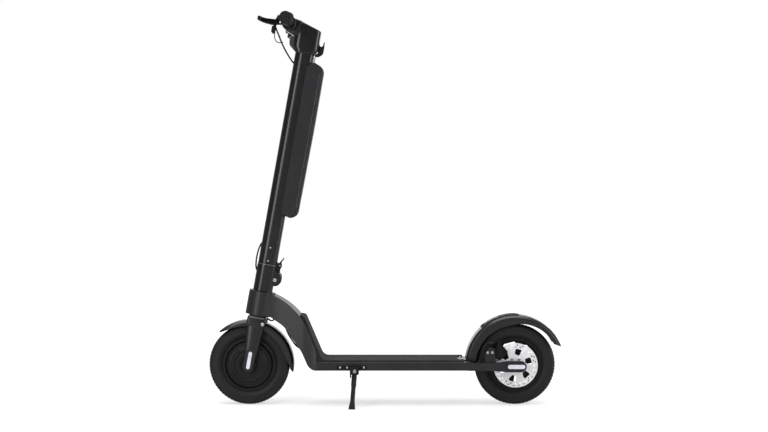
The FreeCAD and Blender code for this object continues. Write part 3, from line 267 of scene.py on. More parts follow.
def pillow(outline: np.ndarray, low: float, high: float, edge: float, plane: Plane = Plane.XZ,
           steps: int = 5) -> Skin:
    """Outline carried from low to high, its two rims rounded by a quarter circle of radius edge.

    Ring k of a rim lies edge * (1 - cos a) inside the outline and edge * (1 - sin a) in from the flat face,
    with a from 0 to 90 degrees.

    Args:
        outline: closed outline, points by 2.
        low, high: the two flat faces, along the third axis.
        edge: radius of the rims.
        plane: the outline's plane.
        steps: rings to each rim.

    Returns:
        The closed skin.
    """
    ring = counter_clockwise(outline)
    angle = np.linspace(0, math.pi / 2, steps)
    depth, rise = edge * (1 - np.sin(angle)), edge * (1 - np.cos(angle))
    insets = np.concatenate([depth, depth[::-1]])
    levels = np.concatenate([low + rise, (high - rise)[::-1]])
    rings = np.stack([inset(ring, d) for d in insets])
    a, b, c = plane.value
    points = np.empty(rings.shape[:2] + (3,))
    points[..., a], points[..., b], points[..., c] = rings[..., 0], rings[..., 1], levels[:, None]
    skin = grid(points, wrap_columns=True, caps=True)
    if plane is Plane.XZ:
        skin.faces = [f[::-1] for f in skin.faces]
    return skin


def turned(profile: np.ndarray, count: int, axis: Plane = Plane.XZ, centre: Sequence[float] = (0, 0),
           closed: bool = False) -> Skin:
    """Profile of (radius, height) points turned about the third axis of a plane.

    Point (r, h) at angle a lies at (r cos a, r sin a) in the plane and at h along the axis.

    Args:
        profile: points by 2; it runs from low height to high on the outside.
        count: points round.
        axis: the plane that the circles lie in.
        centre: where the axis crosses the plane.
        closed: whether the profile is a loop; otherwise its two ends get flat faces.

    Returns:
        The skin, outward.
    """
    angle = np.linspace(0, 2 * math.pi, count, endpoint=False)
    radius, height = np.asarray(profile, float).T
    a, b, c = axis.value
    points = np.empty((len(radius), count, 3))
    points[..., a] = centre[0] + radius[:, None] * np.cos(angle)
    points[..., b] = centre[1] + radius[:, None] * np.sin(angle)
    points[..., c] = height[:, None]
    skin = grid(points, wrap_rows=closed, wrap_columns=True, caps=not closed)
    if axis is Plane.XZ:
        skin.faces = [f[::-1] for f in skin.faces]
    return skin


def spline(points: Sequence[Sequence[float]], per_span: int) -> np.ndarray:
    """Smooth curve near the points: a quadratic B-spline, each span blending three points.

    The end points are first repeated, mirrored about the ends, so that the curve starts and ends on them.

    Inside a span, with u from 0 to 1, the curve is half (1-u)^2 P0 + half (1 + 2u - 2u^2) P1 + half u^2 P2.

    Args:
        points: the control points; the curve starts at the first and ends at the last.
        per_span: samples to each span.

    Returns:
        Array of samples by 3.
    """
    p = np.asarray(points, float)
    p = np.vstack([2 * p[0] - p[1], p, 2 * p[-1] - p[-2]])
    u = np.linspace(0, 1, per_span, endpoint=False)[:, None]
    before, here, after = 0.5 * (1 - u) ** 2, 0.5 * (1 + 2 * u - 2 * u * u), 0.5 * u * u
    curve = [before * p[i] + here * p[i + 1] + after * p[i + 2] for i in range(len(p) - 2)]
    return np.vstack(curve + [(0.5 * (p[-2] + p[-1]))[None]])


def sweep(path: np.ndarray, ring: np.ndarray, up: Sequence[float] = (0, 0, 1)) -> Skin:
    """A closed ring carried along a path, kept square to it.

    At each sample the side direction is the path's direction crossed with up, and the ring's two coordinates
    run along the side direction and along the cross product of side and path.

    Args:
        path: samples by 3.
        ring: points by 2, counter-clockwise.
        up: a direction that the path never follows.

    Returns:
        The closed skin.
    """
    ahead = np.gradient(path, axis=0)
    ahead /= np.linalg.norm(ahead, axis=1, keepdims=True)
    side = np.cross(ahead, np.asarray(up, float))
    side /= np.linalg.norm(side, axis=1, keepdims=True)
    top = np.cross(side, ahead)
    points = path[:, None] + ring[None, :, 0:1] * side[:, None] + ring[None, :, 1:2] * top[:, None]
    skin = grid(points, wrap_columns=True, caps=True)
    skin.faces = [f[::-1] for f in skin.faces]
    return skin


def circle(radius: float, count: int) -> np.ndarray:
    """Points round a circle, counter-clockwise."""
    angle = np.linspace(0, 2 * math.pi, count, endpoint=False)
    return radius * np.stack([np.cos(angle), np.sin(angle)], 1)


def rounded_ring(width: np.ndarray, depth: np.ndarray, power: float, count: int) -> np.ndarray:
    """Superellipse |x / width|^power + |y / depth|^power = 1, counter-clockwise, as arrays of x and y.

    Args:
        width, depth: half sizes, arrays or numbers.
        power: 2 is an ellipse, more is squarer.
        count: points round.

    Returns:
        Array whose last axis is (x, y).
    """
    angle = np.linspace(0, 2 * math.pi, count, endpoint=False)
    c, s = np.cos(angle), np.sin(angle)
    x = np.sign(c) * np.abs(c) ** (2 / power) * np.asarray(width)[..., None]
    y = np.sign(s) * np.abs(s) ** (2 / power) * np.asarray(depth)[..., None]
    return np.stack([x, y], -1)


# ---------------------------------------------------------------- shader expressions

Number = Union[float, int]
Link = Union["Value", Number, Sequence[float]]
# numbers of a Mix node's colour sockets
MIX_SHARE, MIX_FIRST, MIX_SECOND, MIX_RESULT = 0, 6, 7, 2


class Value:
    """A node's output socket, with arithmetic that adds Math nodes."""

    def __init__(self, tree: "Shader", socket: bpy.types.NodeSocket) -> None:
        """Keeps the shader it belongs to and the output socket."""
        self.tree, self.socket = tree, socket

    def _math(self, operation: str, a: Link, b: Link = 0.0) -> "Value":
        """A Math node on one or two values."""
        return self.tree.node("ShaderNodeMath", {"operation": operation}, {0: a, 1: b})

    def __add__(self, other: Link) -> "Value":
        """Sum."""
        return self._math("ADD", self, other)

    __radd__ = __add__

    def __sub__(self, other: Link) -> "Value":
        """Difference."""
        return self._math("SUBTRACT", self, other)

    def __rsub__(self, other: Link) -> "Value":
        """Difference, the other way round."""
        return self._math("SUBTRACT", other, self)

    def __mul__(self, other: Link) -> "Value":
        """Product."""
        return self._math("MULTIPLY", self, other)

    __rmul__ = __mul__

    def __pow__(self, other: Link) -> "Value":
        """Power."""
        return self._math("POWER", self, other)

    def sine(self) -> "Value":
        """Sine, in radians."""
        return self._math("SINE", self)

    def above(self, low: float, high: float) -> "Value":
        """0 below low, 1 above high, and smooth between."""
        return self.tree.node("ShaderNodeMapRange", {"interpolation_type": "SMOOTHSTEP"},
                              {"Value": self, "From Min": low, "From Max": high})


class Shader:
    """A material's node tree, made from expressions."""

    def __init__(self, name: str) -> None:
        """Makes an empty material.

        Args:
            name: its name.
        """
        self.material = bpy.data.materials.new(name)
        self.material.use_nodes = True
        self.tree = self.material.node_tree
        self.tree.nodes.clear()

    def node(self, kind: str, settings: Optional[dict] = None, inputs: Optional[dict] = None,
             output: Union[int, str, None] = 0) -> Optional[Value]:
        """Adds a node.

        Args:
            kind: its type name.
            settings: attributes set before its inputs.
            inputs: values or links by socket name or number.
            output: which output is returned; none for a node that has none.

        Returns:
            The output.
        """
        made = self.tree.nodes.new(kind)
        for key, setting in (settings or {}).items():
            setattr(made, key, setting)
        for key, given in (inputs or {}).items():
            socket = made.inputs[key]
            if isinstance(given, Value):
                self.tree.links.new(given.socket, socket)
            else:
                socket.default_value = given
        return Value(self, made.outputs[output]) if output is not None else None

    def place(self) -> Value:
        """Object coordinates in metres."""
        return self.node("ShaderNodeTexCoord", output="Object")

    def parts(self, vector: Value) -> tuple[Value, Value, Value]:
        """A vector's three coordinates."""
        split = self.node("ShaderNodeSeparateXYZ", {}, {0: vector}).socket.node
        return tuple(Value(self, split.outputs[i]) for i in range(3))

    def noise(self, at: Value, scale: float, detail: float = 2.0, roughness: float = 0.5) -> Value:
        """Noise from 0 to 1; scale is per metre."""
        return self.node("ShaderNodeTexNoise", {},
                         {"Vector": at, "Scale": scale, "Detail": detail, "Roughness": roughness})

    def mix(self, share: Link, a: Sequence[float], b: Sequence[float]) -> Value:
        """Colour between two.

        Args:
            share: how much of the second.
            a, b: the two colours.

        Returns:
            The mixed colour.
        """
        return self.node("ShaderNodeMix", {"data_type": "RGBA"},
                         {MIX_SHARE: share, MIX_FIRST: (*a, 1.0), MIX_SECOND: (*b, 1.0)}, MIX_RESULT)

    def bump(self, height: Value, distance: float) -> Value:
        """Normal of a surface raised by height times distance, in metres."""
        return self.node("ShaderNodeBump", {}, {"Height": height, "Distance": distance})

    def finish(self, **inputs: Link) -> bpy.types.Material:
        """Closes the tree with a Principled shader.

        Args:
            inputs: values or links by socket name, with _ for a space.

        Returns:
            The material.
        """
        named = {key.replace("_", " "): given for key, given in inputs.items()}
        shader = self.node("ShaderNodeBsdfPrincipled", {}, named)
        self.node("ShaderNodeOutputMaterial", {}, {"Surface": shader}, output=None)
        return self.material


# ---------------------------------------------------------------- finishes

Colour = tuple[float, float, float]


@dataclass(frozen=True)
class Coat:
    """Paint, plastic, rubber or metal with fine grain and slow changes of tone.

    Colour runs between dark and light with slow noise. Roughness is the base value plus a share of another
    noise. The surface is raised by fine noise.

    Args:
        dark, light: the two ends of its colour.
        roughness: least roughness.
        patchy: how much more the roughness is at most.
        grain: grains per metre.
        relief: height of the grain in metres.
        metallic: 1 for bare metal.
        coat: weight of a clear coat.
        coat_roughness: roughness of that coat.
        specular: specular level.
    """

    dark: Colour
    light: Colour
    roughness: float
    patchy: float = 0.08
    grain: float = 1400.0
    relief: float = 0.00003
    metallic: float = 0.0
    coat: float = 0.0
    coat_roughness: float = 0.1
    specular: float = 0.5

    def height(self, shader: Shader, at: Value) -> Value:
        """Grain height, from 0 to 1."""
        return shader.noise(at, self.grain, 3.0)

    def tone(self, shader: Shader, at: Value) -> Value:
        """Share of the light colour."""
        return shader.noise(at, 14.0, 4.0, 0.6).above(0.3, 0.7)

    def material(self, name: str) -> bpy.types.Material:
        """Builds the material.

        Args:
            name: its name.

        Returns:
            The material.
        """
        shader = Shader(name)
        at = shader.place()
        wear = shader.noise(at, 45.0, 5.0, 0.65)
        return shader.finish(
            Base_Color=shader.mix(self.tone(shader, at), self.dark, self.light),
            Roughness=wear * self.patchy + self.roughness,
            Metallic=self.metallic,
            Specular_IOR_Level=self.specular,
            Coat_Weight=self.coat,
            Coat_Roughness=self.coat_roughness,
            Normal=shader.bump(self.height(shader, at), self.relief),
        )


@dataclass(frozen=True)
class Turned(Coat):
    """Metal with fine rings about an axle parallel to Y.

    The ring height is the sine of the distance from the axle times rings per metre.

    Args:
        centre: the axle's (X, Z) in metres.
        rings: radians of ring pattern per metre.
    """

    centre: tuple[float, float] = (0.0, 0.0)
    rings: float = 9000.0

    def height(self, shader: Shader, at: Value) -> Value:
        """Rings, a quarter as high as the noise that breaks them up.

        Args:
            shader: the shader that gets the nodes.
            at: object coordinates.

        Returns:
            The height.
        """
        x, _, z = shader.parts(at)
        dx, dz = x - self.centre[0], z - self.centre[1]
        radius = (dx * dx + dz * dz) ** 0.5
        return (radius * self.rings).sine() * 0.25 + shader.noise(at, self.grain, 2.0)


@dataclass(frozen=True)
class Ribbed(Coat):
    """Rubber or plastic with ribs square to Y.

    The rib height is the sine of Y times 2 pi over the pitch, cut smoothly to 0..1.

    Args:
        pitch: distance between ribs in metres.
    """

    pitch: float = 0.004

    def height(self, shader: Shader, at: Value) -> Value:
        """Ribs with the grain on top.

        Args:
            shader: the shader that gets the nodes.
            at: object coordinates.

        Returns:
            The height.
        """
        _, along, _ = shader.parts(at)
        rib = (along * (2 * math.pi / self.pitch)).sine().above(-0.3, 0.5)
        return rib + shader.noise(at, self.grain, 2.0) * 0.12


@dataclass(frozen=True)
class Studded(Coat):
    """Mat with small studs in diagonal rows.

    The stud height is the product of two sines along the diagonals of X and Y, cut smoothly at its middle.

    Args:
        pitch: distance between studs in metres.
    """

    pitch: float = 0.008

    def height(self, shader: Shader, at: Value) -> Value:
        """Studs with the grain on top.

        Args:
            shader: the shader that gets the nodes.
            at: object coordinates.

        Returns:
            The height.
        """
        x, y, _ = shader.parts(at)
        rate = 2 * math.pi / self.pitch
        stud = ((x + y) * rate).sine() * ((x - y) * rate).sine()
        return stud.above(0.1, 0.7) + shader.noise(at, self.grain, 2.0) * 0.15


@dataclass(frozen=True)
class Prism(Coat):
    """Reflector with a cell pattern under a clear face.

    Args:
        cell: cells per metre.
    """

    cell: float = 420.0

    def height(self, shader: Shader, at: Value) -> Value:
        """Distance from the middle of each cell."""
        return shader.node("ShaderNodeTexVoronoi", {"distance": "CHEBYCHEV"},
                           {"Vector": at, "Scale": self.cell})


REAR_AXLE = (REAR.origin[0] * MM, REAR.origin[2] * MM)

FINISHES = {
    "satin_frame": Coat((0.011, 0.011, 0.013), (0.016, 0.016, 0.018), 0.34, 0.10, 2200, 0.00003,
                        coat=0.1, coat_roughness=0.35, specular=0.35),
    "gloss_black": Coat((0.003, 0.003, 0.004), (0.005, 0.005, 0.006), 0.26, 0.06, 900, 0.000006,
                        coat=0.3, coat_roughness=0.15, specular=0.35),
    "black_plastic": Coat((0.004, 0.004, 0.005), (0.008, 0.008, 0.009), 0.27, 0.10, 2600, 0.000015,
                          coat=0.25, coat_roughness=0.15, specular=0.4),
    "battery_shell": Coat((0.010, 0.010, 0.012), (0.014, 0.014, 0.016), 0.48, 0.10, 2400, 0.00004,
                          specular=0.3),
    "mat_rubber": Studded((0.014, 0.014, 0.015), (0.026, 0.026, 0.027), 0.78, 0.15, 2000, 0.0005,
                          specular=0.3),
    "tyre": Coat((0.004, 0.004, 0.005), (0.007, 0.007, 0.008), 0.5, 0.15, 1500, 0.00004, specular=0.35),
    "grip_rubber": Ribbed((0.004, 0.004, 0.004), (0.009, 0.009, 0.009), 0.60, 0.15, 1800, 0.0006,
                          specular=0.3),
    "steel": Coat((0.50, 0.50, 0.50), (0.68, 0.68, 0.69), 0.22, 0.16, 1800, 0.00002, metallic=1.0),
    "disc_steel": Turned((0.78, 0.78, 0.80), (0.92, 0.92, 0.94), 0.34, 0.12, 1500, 0.00002,
                         metallic=0.35, centre=REAR_AXLE),
    "aluminium": Coat((0.42, 0.42, 0.43), (0.55, 0.55, 0.56), 0.38, 0.15, 1500, 0.00004, metallic=1.0),
    "black_aluminium": Coat((0.004, 0.004, 0.005), (0.009, 0.009, 0.010), 0.36, 0.12, 1800, 0.00002,
                            metallic=0.25, specular=0.3),
    "reflector": Prism((0.66, 0.63, 0.74), (0.86, 0.84, 0.92), 0.22, 0.1, 1000, 0.0004,
                       coat=1.0, coat_roughness=0.05),
    "lens": Ribbed((0.030, 0.030, 0.034), (0.075, 0.075, 0.080), 0.10, 0.06, 900, 0.0003,
                   coat=1.0, coat_roughness=0.04, pitch=0.005),
    "display_glass": Coat((0.003, 0.003, 0.004), (0.006, 0.006, 0.007), 0.08, 0.05, 300, 0.000004,
                          coat=1.0, coat_roughness=0.03),
    "red_lens": Ribbed((0.22, 0.004, 0.006), (0.42, 0.010, 0.012), 0.14, 0.06, 900, 0.0004,
                       coat=1.0, coat_roughness=0.05, pitch=0.0035),
    "button": Coat((0.20, 0.20, 0.21), (0.30, 0.30, 0.31), 0.42, 0.1, 1800, 0.00003),
    "stator": Coat((0.16, 0.10, 0.06), (0.30, 0.20, 0.13), 0.45, 0.2, 900, 0.00005, metallic=0.8),
    "cells": Coat((0.02, 0.10, 0.28), (0.03, 0.14, 0.36), 0.35, 0.1, 900, 0.00002),
    "cable": Coat((0.004, 0.004, 0.004), (0.008, 0.008, 0.009), 0.42, 0.15, 1600, 0.00004, specular=0.3),
    "pads": Coat((0.08, 0.07, 0.06), (0.16, 0.14, 0.12), 0.7, 0.2, 1400, 0.00015, metallic=0.4),
}

# pale grey of the battery's raised seam lines: a painted highlight of its rounded rear edge
PAINTED_SEAM_HIGHLIGHT = Coat((0.10, 0.10, 0.11), (0.14, 0.14, 0.15), 0.35)
# the grips' own ribs are modelled, so their rubber has fine grain only
GRIP_RUBBER_FINE = Coat((0.004, 0.004, 0.004), (0.009, 0.009, 0.009), 0.6, 0.15, 1800, 0.00006, specular=0.3)


class Wardrobe:
    """The finished materials, made once each by record slot or by name."""

    def __init__(self) -> None:
        """Starts empty."""
        self.made: dict[str, bpy.types.Material] = {}

    def get(self, slot_name: str, finish: Optional[Coat] = None,
            name: Optional[str] = None) -> bpy.types.Material:
        """A finish's material.

        Args:
            slot_name: the record's material slot.
            finish: a finish of its own, where it isn't the slot's.
            name: the name of that finish.

        Returns:
            The material.
        """
        key = name or slot_name
        if key not in self.made:
            self.made[key] = (finish or FINISHES[slot_name]).material(key)
        return self.made[key]


WARDROBE = Wardrobe()


@dataclass
class Piece:
    """One finished mesh.

    Args:
        name: its name.
        skin: its surface in millimetres, in the row frame.
        body: the body it rides on.
        slot: the record's material slot.
        finish: a finish of its own, where it isn't the slot's.
        finish_name: the name of that finish.
        replaces: CAD nodes it stands for.
        sharp: the angle in degrees above which an edge stays sharp.
        bend: a second body and two row-frame points, for a piece across a joint; when it is given, the mesh
            stays in the row frame and is set on no body.
    """

    name: str
    skin: Skin
    body: Body
    slot: str
    finish: Optional[Coat] = None
    finish_name: Optional[str] = None
    replaces: Sequence[str] = ()
    sharp: float = 35.0
    bend: Optional[tuple[Body, Sequence[float], Sequence[float]]] = None

    def build(self) -> bpy.types.Object:
        """Makes the mesh, dresses it and sets it on its body, or leaves it in the row frame when it has a
        bend.

        Returns:
            The object.
        """
        mesh = bpy.data.meshes.new(self.name)
        mesh.from_pydata((self.skin.points * MM).tolist(), [], self.skin.faces)
        mesh.validate()
        mesh.shade_smooth()
        mesh.set_sharp_from_angle(angle=math.radians(self.sharp))
        mesh.materials.append(WARDROBE.get(self.slot, self.finish, self.finish_name))
        made = bpy.data.objects.new(self.name, mesh)
        bpy.context.scene.collection.objects.link(made)
        if self.bend:
            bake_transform(made)
        else:
            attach(made, self.body.value)
        if self.replaces:
            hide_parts(*self.replaces)
        log.info("%s: %d faces on %s", self.name, len(mesh.polygons), self.body.value)
        return made


@dataclass
class Studio:
    """Floor, camera and soft lights.

    Args:
        camera: the camera's place in metres.
        pitch: degrees it looks down.
        focal, sensor: focal length and sensor width in millimetres.
        far: how far the camera sees, in metres.
        floor: half size of the floor in metres.
        white, mottle: floor tone, and how far it strays to each side.
        glow: light added to the floor where it is seen directly, so that it meets the background.
        ambient: strength of the even light from all round.
        sun, sun_width: strength and angular width in degrees of the light from above.
        sun_tilt: degrees that it leans toward the front and toward the side.
    """

    camera: tuple[float, float, float] = (-0.003, -4.7, 0.760)
    pitch: float = 2.0
    focal: float = 69.7
    sensor: float = 36.0
    far: float = 200.0
    floor: float = 30.0
    white: float = 0.5
    mottle: float = 0.01
    glow: float = 0.55
    ambient: float = 0.22
    sun: float = 2.5
    sun_width: float = 60.0
    sun_tilt: tuple[float, float] = (8.0, -4.0)

    def build(self) -> None:
        """Makes the floor, the lights, the background and the camera."""
        self.make_floor()
        self.make_light("left_strip", (-2.0, -3.2, 1.3), (0.0, 0.0, 0.7), (1.0, 3.2), 60.0)
        self.make_light("right_strip", (3.3, -1.5, 1.3), (0.0, 0.0, 0.7), (1.3, 3.2), 80.0)
        self.make_light("backdrop", (0.0, 4.5, 1.3), (0.0, 0.0, 1.3), (7.0, 2.6), 58.0)
        self.make_sun()
        self.make_sky()
        self.make_camera()

    def make_floor(self) -> None:
        """A flat square, pale with very slow changes of tone."""
        h = self.floor
        mesh = bpy.data.meshes.new("floor")
        mesh.from_pydata([(-h, -h, 0), (h, -h, 0), (h, h, 0), (-h, h, 0)], [], [(0, 1, 2, 3)])
        shader = Shader("pale_floor")
        tone = shader.noise(shader.place(), 0.6, 2.0)
        low, high = self.white - self.mottle, self.white + self.mottle
        seen = shader.node("ShaderNodeLightPath", output="Is Camera Ray")
        mesh.materials.append(shader.finish(
            Base_Color=shader.mix(tone, (low,) * 3, (high,) * 3),
            Roughness=0.85,
            Emission_Color=shader.mix(seen, (0.0,) * 3, (1.0,) * 3),
            Emission_Strength=self.glow,
        ))
        made = bpy.data.objects.new("floor", mesh)
        bpy.context.scene.collection.objects.link(made)

    def make_light(self, name: str, place: Sequence[float], target: Sequence[float],
                   size: tuple[float, float], power: float) -> None:
        """A rectangular area light, its second side upright.

        Args:
            name: its name.
            place: where it is, in metres.
            target: what it faces.
            size: its two sides in metres.
            power: watts.
        """
        lamp = bpy.data.lights.new(name, "AREA")
        lamp.shape, lamp.size, lamp.size_y, lamp.energy = "RECTANGLE", *size, power
        made = bpy.data.objects.new(name, lamp)
        made.location = place
        made.rotation_euler = (Vector(target) - Vector(place)).to_track_quat("-Z", "Y").to_euler()
        bpy.context.scene.collection.objects.link(made)

    def make_sun(self) -> None:
        """A very soft sun from above, slightly from the front, that lights the whole floor evenly."""
        lamp = bpy.data.lights.new("overhead", "SUN")
        lamp.energy, lamp.angle = self.sun, math.radians(self.sun_width)
        made = bpy.data.objects.new("overhead", lamp)
        made.rotation_euler = (math.radians(self.sun_tilt[0]), math.radians(self.sun_tilt[1]), 0)
        bpy.context.scene.collection.objects.link(made)

    def make_sky(self) -> None:
        """A background that is white behind the scooter and dimmer as a source of light."""
        world = bpy.data.worlds.new("pale")
        world.use_nodes = True
        nodes, links = world.node_tree.nodes, world.node_tree.links
        lit = nodes["Background"]
        lit.inputs["Color"].default_value = (1.0, 1.0, 1.0, 1.0)
        lit.inputs["Strength"].default_value = self.ambient
        seen = nodes.new("ShaderNodeBackground")
        seen.inputs["Color"].default_value = (1.0, 1.0, 1.0, 1.0)
        rays, mix = nodes.new("ShaderNodeLightPath"), nodes.new("ShaderNodeMixShader")
        links.new(rays.outputs["Is Camera Ray"], mix.inputs["Fac"])
        links.new(lit.outputs["Background"], mix.inputs[1])
        links.new(seen.outputs["Background"], mix.inputs[2])
        links.new(mix.outputs["Shader"], nodes["World Output"].inputs["Surface"])
        bpy.context.scene.world = world

    def make_camera(self) -> None:
        """A level camera that looks along +Y and slightly down."""
        lens = bpy.data.cameras.new("camera")
        lens.lens, lens.sensor_width, lens.clip_end = self.focal, self.sensor, self.far
        made = bpy.data.objects.new("camera", lens)
        made.location = self.camera
        made.rotation_euler = (math.radians(90 - self.pitch), 0, 0)
        bpy.context.scene.collection.objects.link(made)
        bpy.context.scene.camera = made


# ---------------------------------------------------------------- wheels

def about(skin: Skin, axes: Axes) -> Skin:
    """A skin drawn about an axle, in X and Z from it, put in the row frame."""
    return Skin(skin.points + axes.origin, skin.faces)


def both_sides(half: Outline) -> Outline:
    """Corners (radius, y, rounding) followed by their mirror images in y, in reverse order."""
    return [*half, *((radius, -y, *rounding) for radius, y, *rounding in reversed(half))]


@dataclass
class Tyre:
    """Air tyre with rings on its walls and a tread of ribs and slanted sipes.

    Args:
        name: name of the piece.
        axes: frame at its axle.
        body: the wheel it rides on.
        node: the CAD node it stands for.
        radius, half_width: outside sizes.
        bead_radius, bead_half: where its walls meet the rim.
        inner: radius and half width of the two corners of its inside.
        rings: raised rings on its walls, as (radius, half width, height).
        wall_drop: how far the wall between the rings lies inside the smooth section.
        tread_depth: how far below the top of the tread the pattern ends.
        grooves: distances of the tread's grooves from its middle.
        groove_depth, groove_half: depth and half width of a groove.
        sipes, per_sipe: slanted cuts round the tread, and points round to each.
        sipe_depth, sipe_share: a cut's depth, and half its width as a share of the pitch.
        sipe_from, sipe_to: distances from the middle between which the cuts run.
        slant: how much of a pitch a cut moves round for each millimetre across.
    """

    name: str
    axes: Axes
    body: Body
    node: str
    radius: float = 127.0
    half_width: float = 26.0
    bead_radius: float = 81.0
    bead_half: float = 17.6
    inner: tuple[float, float] = (98.0, 18.0)
    rings: Outline = ((87.5, 1.3, 0.9), (93.0, 0.8, 0.5), (112.0, 1.0, 0.6), (118.0, 0.7, 0.4))
    wall_drop: float = 0.9
    tread_depth: float = 4.5
    grooves: tuple[float, float] = (4.5, 11.5)
    groove_depth: float = 1.8
    groove_half: float = 0.9
    sipes: int = 72
    per_sipe: int = 10
    sipe_depth: float = 1.5
    sipe_share: float = 0.10
    sipe_from: float = 5.5
    sipe_to: float = 21.5
    slant: float = 0.055

    def section(self) -> np.ndarray:
        """Outside of the walls and tread, from the left bead over the tread to the right bead.

        Returns:
            Array of (radius, y).
        """
        w, r, b = self.half_width, self.radius, self.bead_radius
        half = [(b, -12), (b, -self.bead_half, 1), (85.5, -18.4, 2), (97, -w, 13), (r - 5, -w + 3, 9),
                (r, -10, 4)]
        return smooth_outline(both_sides(half), 0.8)

    def relief(self, section: np.ndarray, angle: np.ndarray) -> np.ndarray:
        """How far each point lies inside the smooth section.

        Wall: rings at set radii, each a smooth bump on a wall lowered by as much as the highest. Tread: two
        grooves each side of the middle, and sipes whose phase is the angle times their number plus a slant
        times the distance from the middle.

        Args:
            section: the section's (radius, y).
            angle: angles round the axle.

        Returns:
            Depths, angles by section points.
        """
        radius, y = section.T
        side = np.abs(y)
        wall = (radius < self.radius - 6) & (radius > self.bead_radius + 2)
        bumps = sum(rise * np.exp(-((radius - at) / wide) ** 2) for at, wide, rise in self.rings)
        lowered = np.where(wall, self.wall_drop - np.clip(bumps, 0, self.wall_drop), 0.0)
        near = [np.exp(-((side - at) / self.groove_half) ** 4) for at in self.grooves]
        grooves = sum(self.groove_depth * share for share in near)
        phase = np.mod(angle[:, None] / (2 * math.pi) * self.sipes + np.sign(y) * side * self.slant, 1.0)
        cut = (np.abs(phase - 0.5) < self.sipe_share) & (side > self.sipe_from) & (side < self.sipe_to)
        tread = radius > self.radius - self.tread_depth
        return np.where(tread, np.maximum(grooves, self.sipe_depth * cut), lowered)

    def skin(self) -> Skin:
        """The section turned about the axle, each point moved in along the section's normal by its relief.

        Returns:
            The closed skin in the row frame.
        """
        section = self.section()
        edge = np.gradient(section, axis=0)
        normal = np.stack([edge[:, 1], -edge[:, 0]], 1)
        normal /= np.maximum(np.linalg.norm(normal, axis=1, keepdims=True), TINY)
        angle = np.linspace(0, 2 * math.pi, self.sipes * self.per_sipe, endpoint=False)
        out = section[None] + normal[None] * -self.relief(section, angle)[..., None]
        inner = np.array([self.inner, (self.inner[0], -self.inner[1])])
        ring = np.concatenate([out, np.broadcast_to(inner, (len(angle), 2, 2))], axis=1)
        x, z = ring[..., 0] * np.cos(angle)[:, None], ring[..., 0] * np.sin(angle)[:, None]
        return about(grid(np.stack([x, ring[..., 1], z], -1), wrap_rows=True, wrap_columns=True), self.axes)

    def build(self) -> None:
        """Makes the tyre."""
        Piece(self.name, self.skin(), self.body, "tyre", replaces=[self.node], sharp=38).build()


@dataclass
class FrontWheel:
    """Tyre and motor covers of the driven wheel.

    Args:
        drum_radius: radius of the covers.
        bore: radius of their middle hole.
        back, face, step: how far from the middle plane their back, rim face and raised middle lie.
        screws, screw_circle: screws in each cover and the radius of their circle.
        screw_turn: share of a pitch by which the first screw lies past the horizontal.
        screw_seat: how far from the middle plane the screws' origin lies.
    """

    drum_radius: float = 71.0
    bore: float = 13.0
    back: float = 22.0
    face: float = 28.0
    step: float = 31.0
    screws: int = 9
    screw_circle: float = 63.0
    screw_turn: float = 0.25
    screw_seat: float = 27.6

    def cover_profile(self) -> np.ndarray:
        """Section of a cover, from its back outward and in again over stepped rings with rounded edges.

        Returns:
            Array of (radius, y).
        """
        b, f, s = self.back, self.face, self.step
        corners = [
            (self.bore, b), (self.drum_radius, b), (self.drum_radius, f, 1.6),
            (67.6, f, 0.5), (67.0, f - 1.0, 0.4), (65.6, f - 1.0, 0.4), (65.0, f, 0.5), (56.5, f, 0.8),
            (54.0, s, 1.4), (45.0, s, 0.4), (44.4, s - 0.7, 0.3), (42.6, s - 0.7, 0.3), (42.0, s, 0.4),
            (26.0, s, 1.0), (24.0, s - 1.2, 1.0), (18.0, s - 1.2, 0.8), (16.5, s, 0.8), (self.bore, s, 0.5),
        ]
        return smooth_outline(corners, 0.7)

    def covers(self) -> Skin:
        """Both covers: the profile turned about the axle, and its mirror image."""
        right = turned(self.cover_profile(), 144, closed=True)
        return about(right.mirrored().joined(right), FRONT)

    def screw_heads(self) -> Skin:
        """Small domed heads round both covers, each a profile turned about its own axis.

        Returns:
            The skin in the row frame.
        """
        corners = [(0.01, -0.6), (2.6, -0.6), (2.6, 1.0, 0.7), (1.3, 1.3, 0.2), (1.2, 0.5, 0.1), (0.01, 0.5)]
        profile = smooth_outline(corners, 0.4)
        skins = []
        for k in range(self.screws):
            a = 2 * math.pi * (k + self.screw_turn) / self.screws
            centre = (self.screw_circle * math.cos(a), self.screw_circle * math.sin(a))
            head = turned(profile, 14, centre=centre)
            head.points[:, 1] += self.screw_seat
            skins += [head, head.mirrored()]
        return about(skins[0].joined(*skins[1:]), FRONT)

    def build(self) -> None:
        """Makes the tyre, the covers and their screws."""
        Tyre("front_tyre_skin", FRONT, Body.FRONT_WHEEL, "front_tyre").build()
        Piece("motor_cover_skins", self.covers(), Body.FRONT_WHEEL, "black_aluminium",
              replaces=["motor_covers"], sharp=30).build()
        Piece("motor_cover_screws", self.screw_heads(), Body.FRONT_WHEEL, "black_aluminium", sharp=40).build()


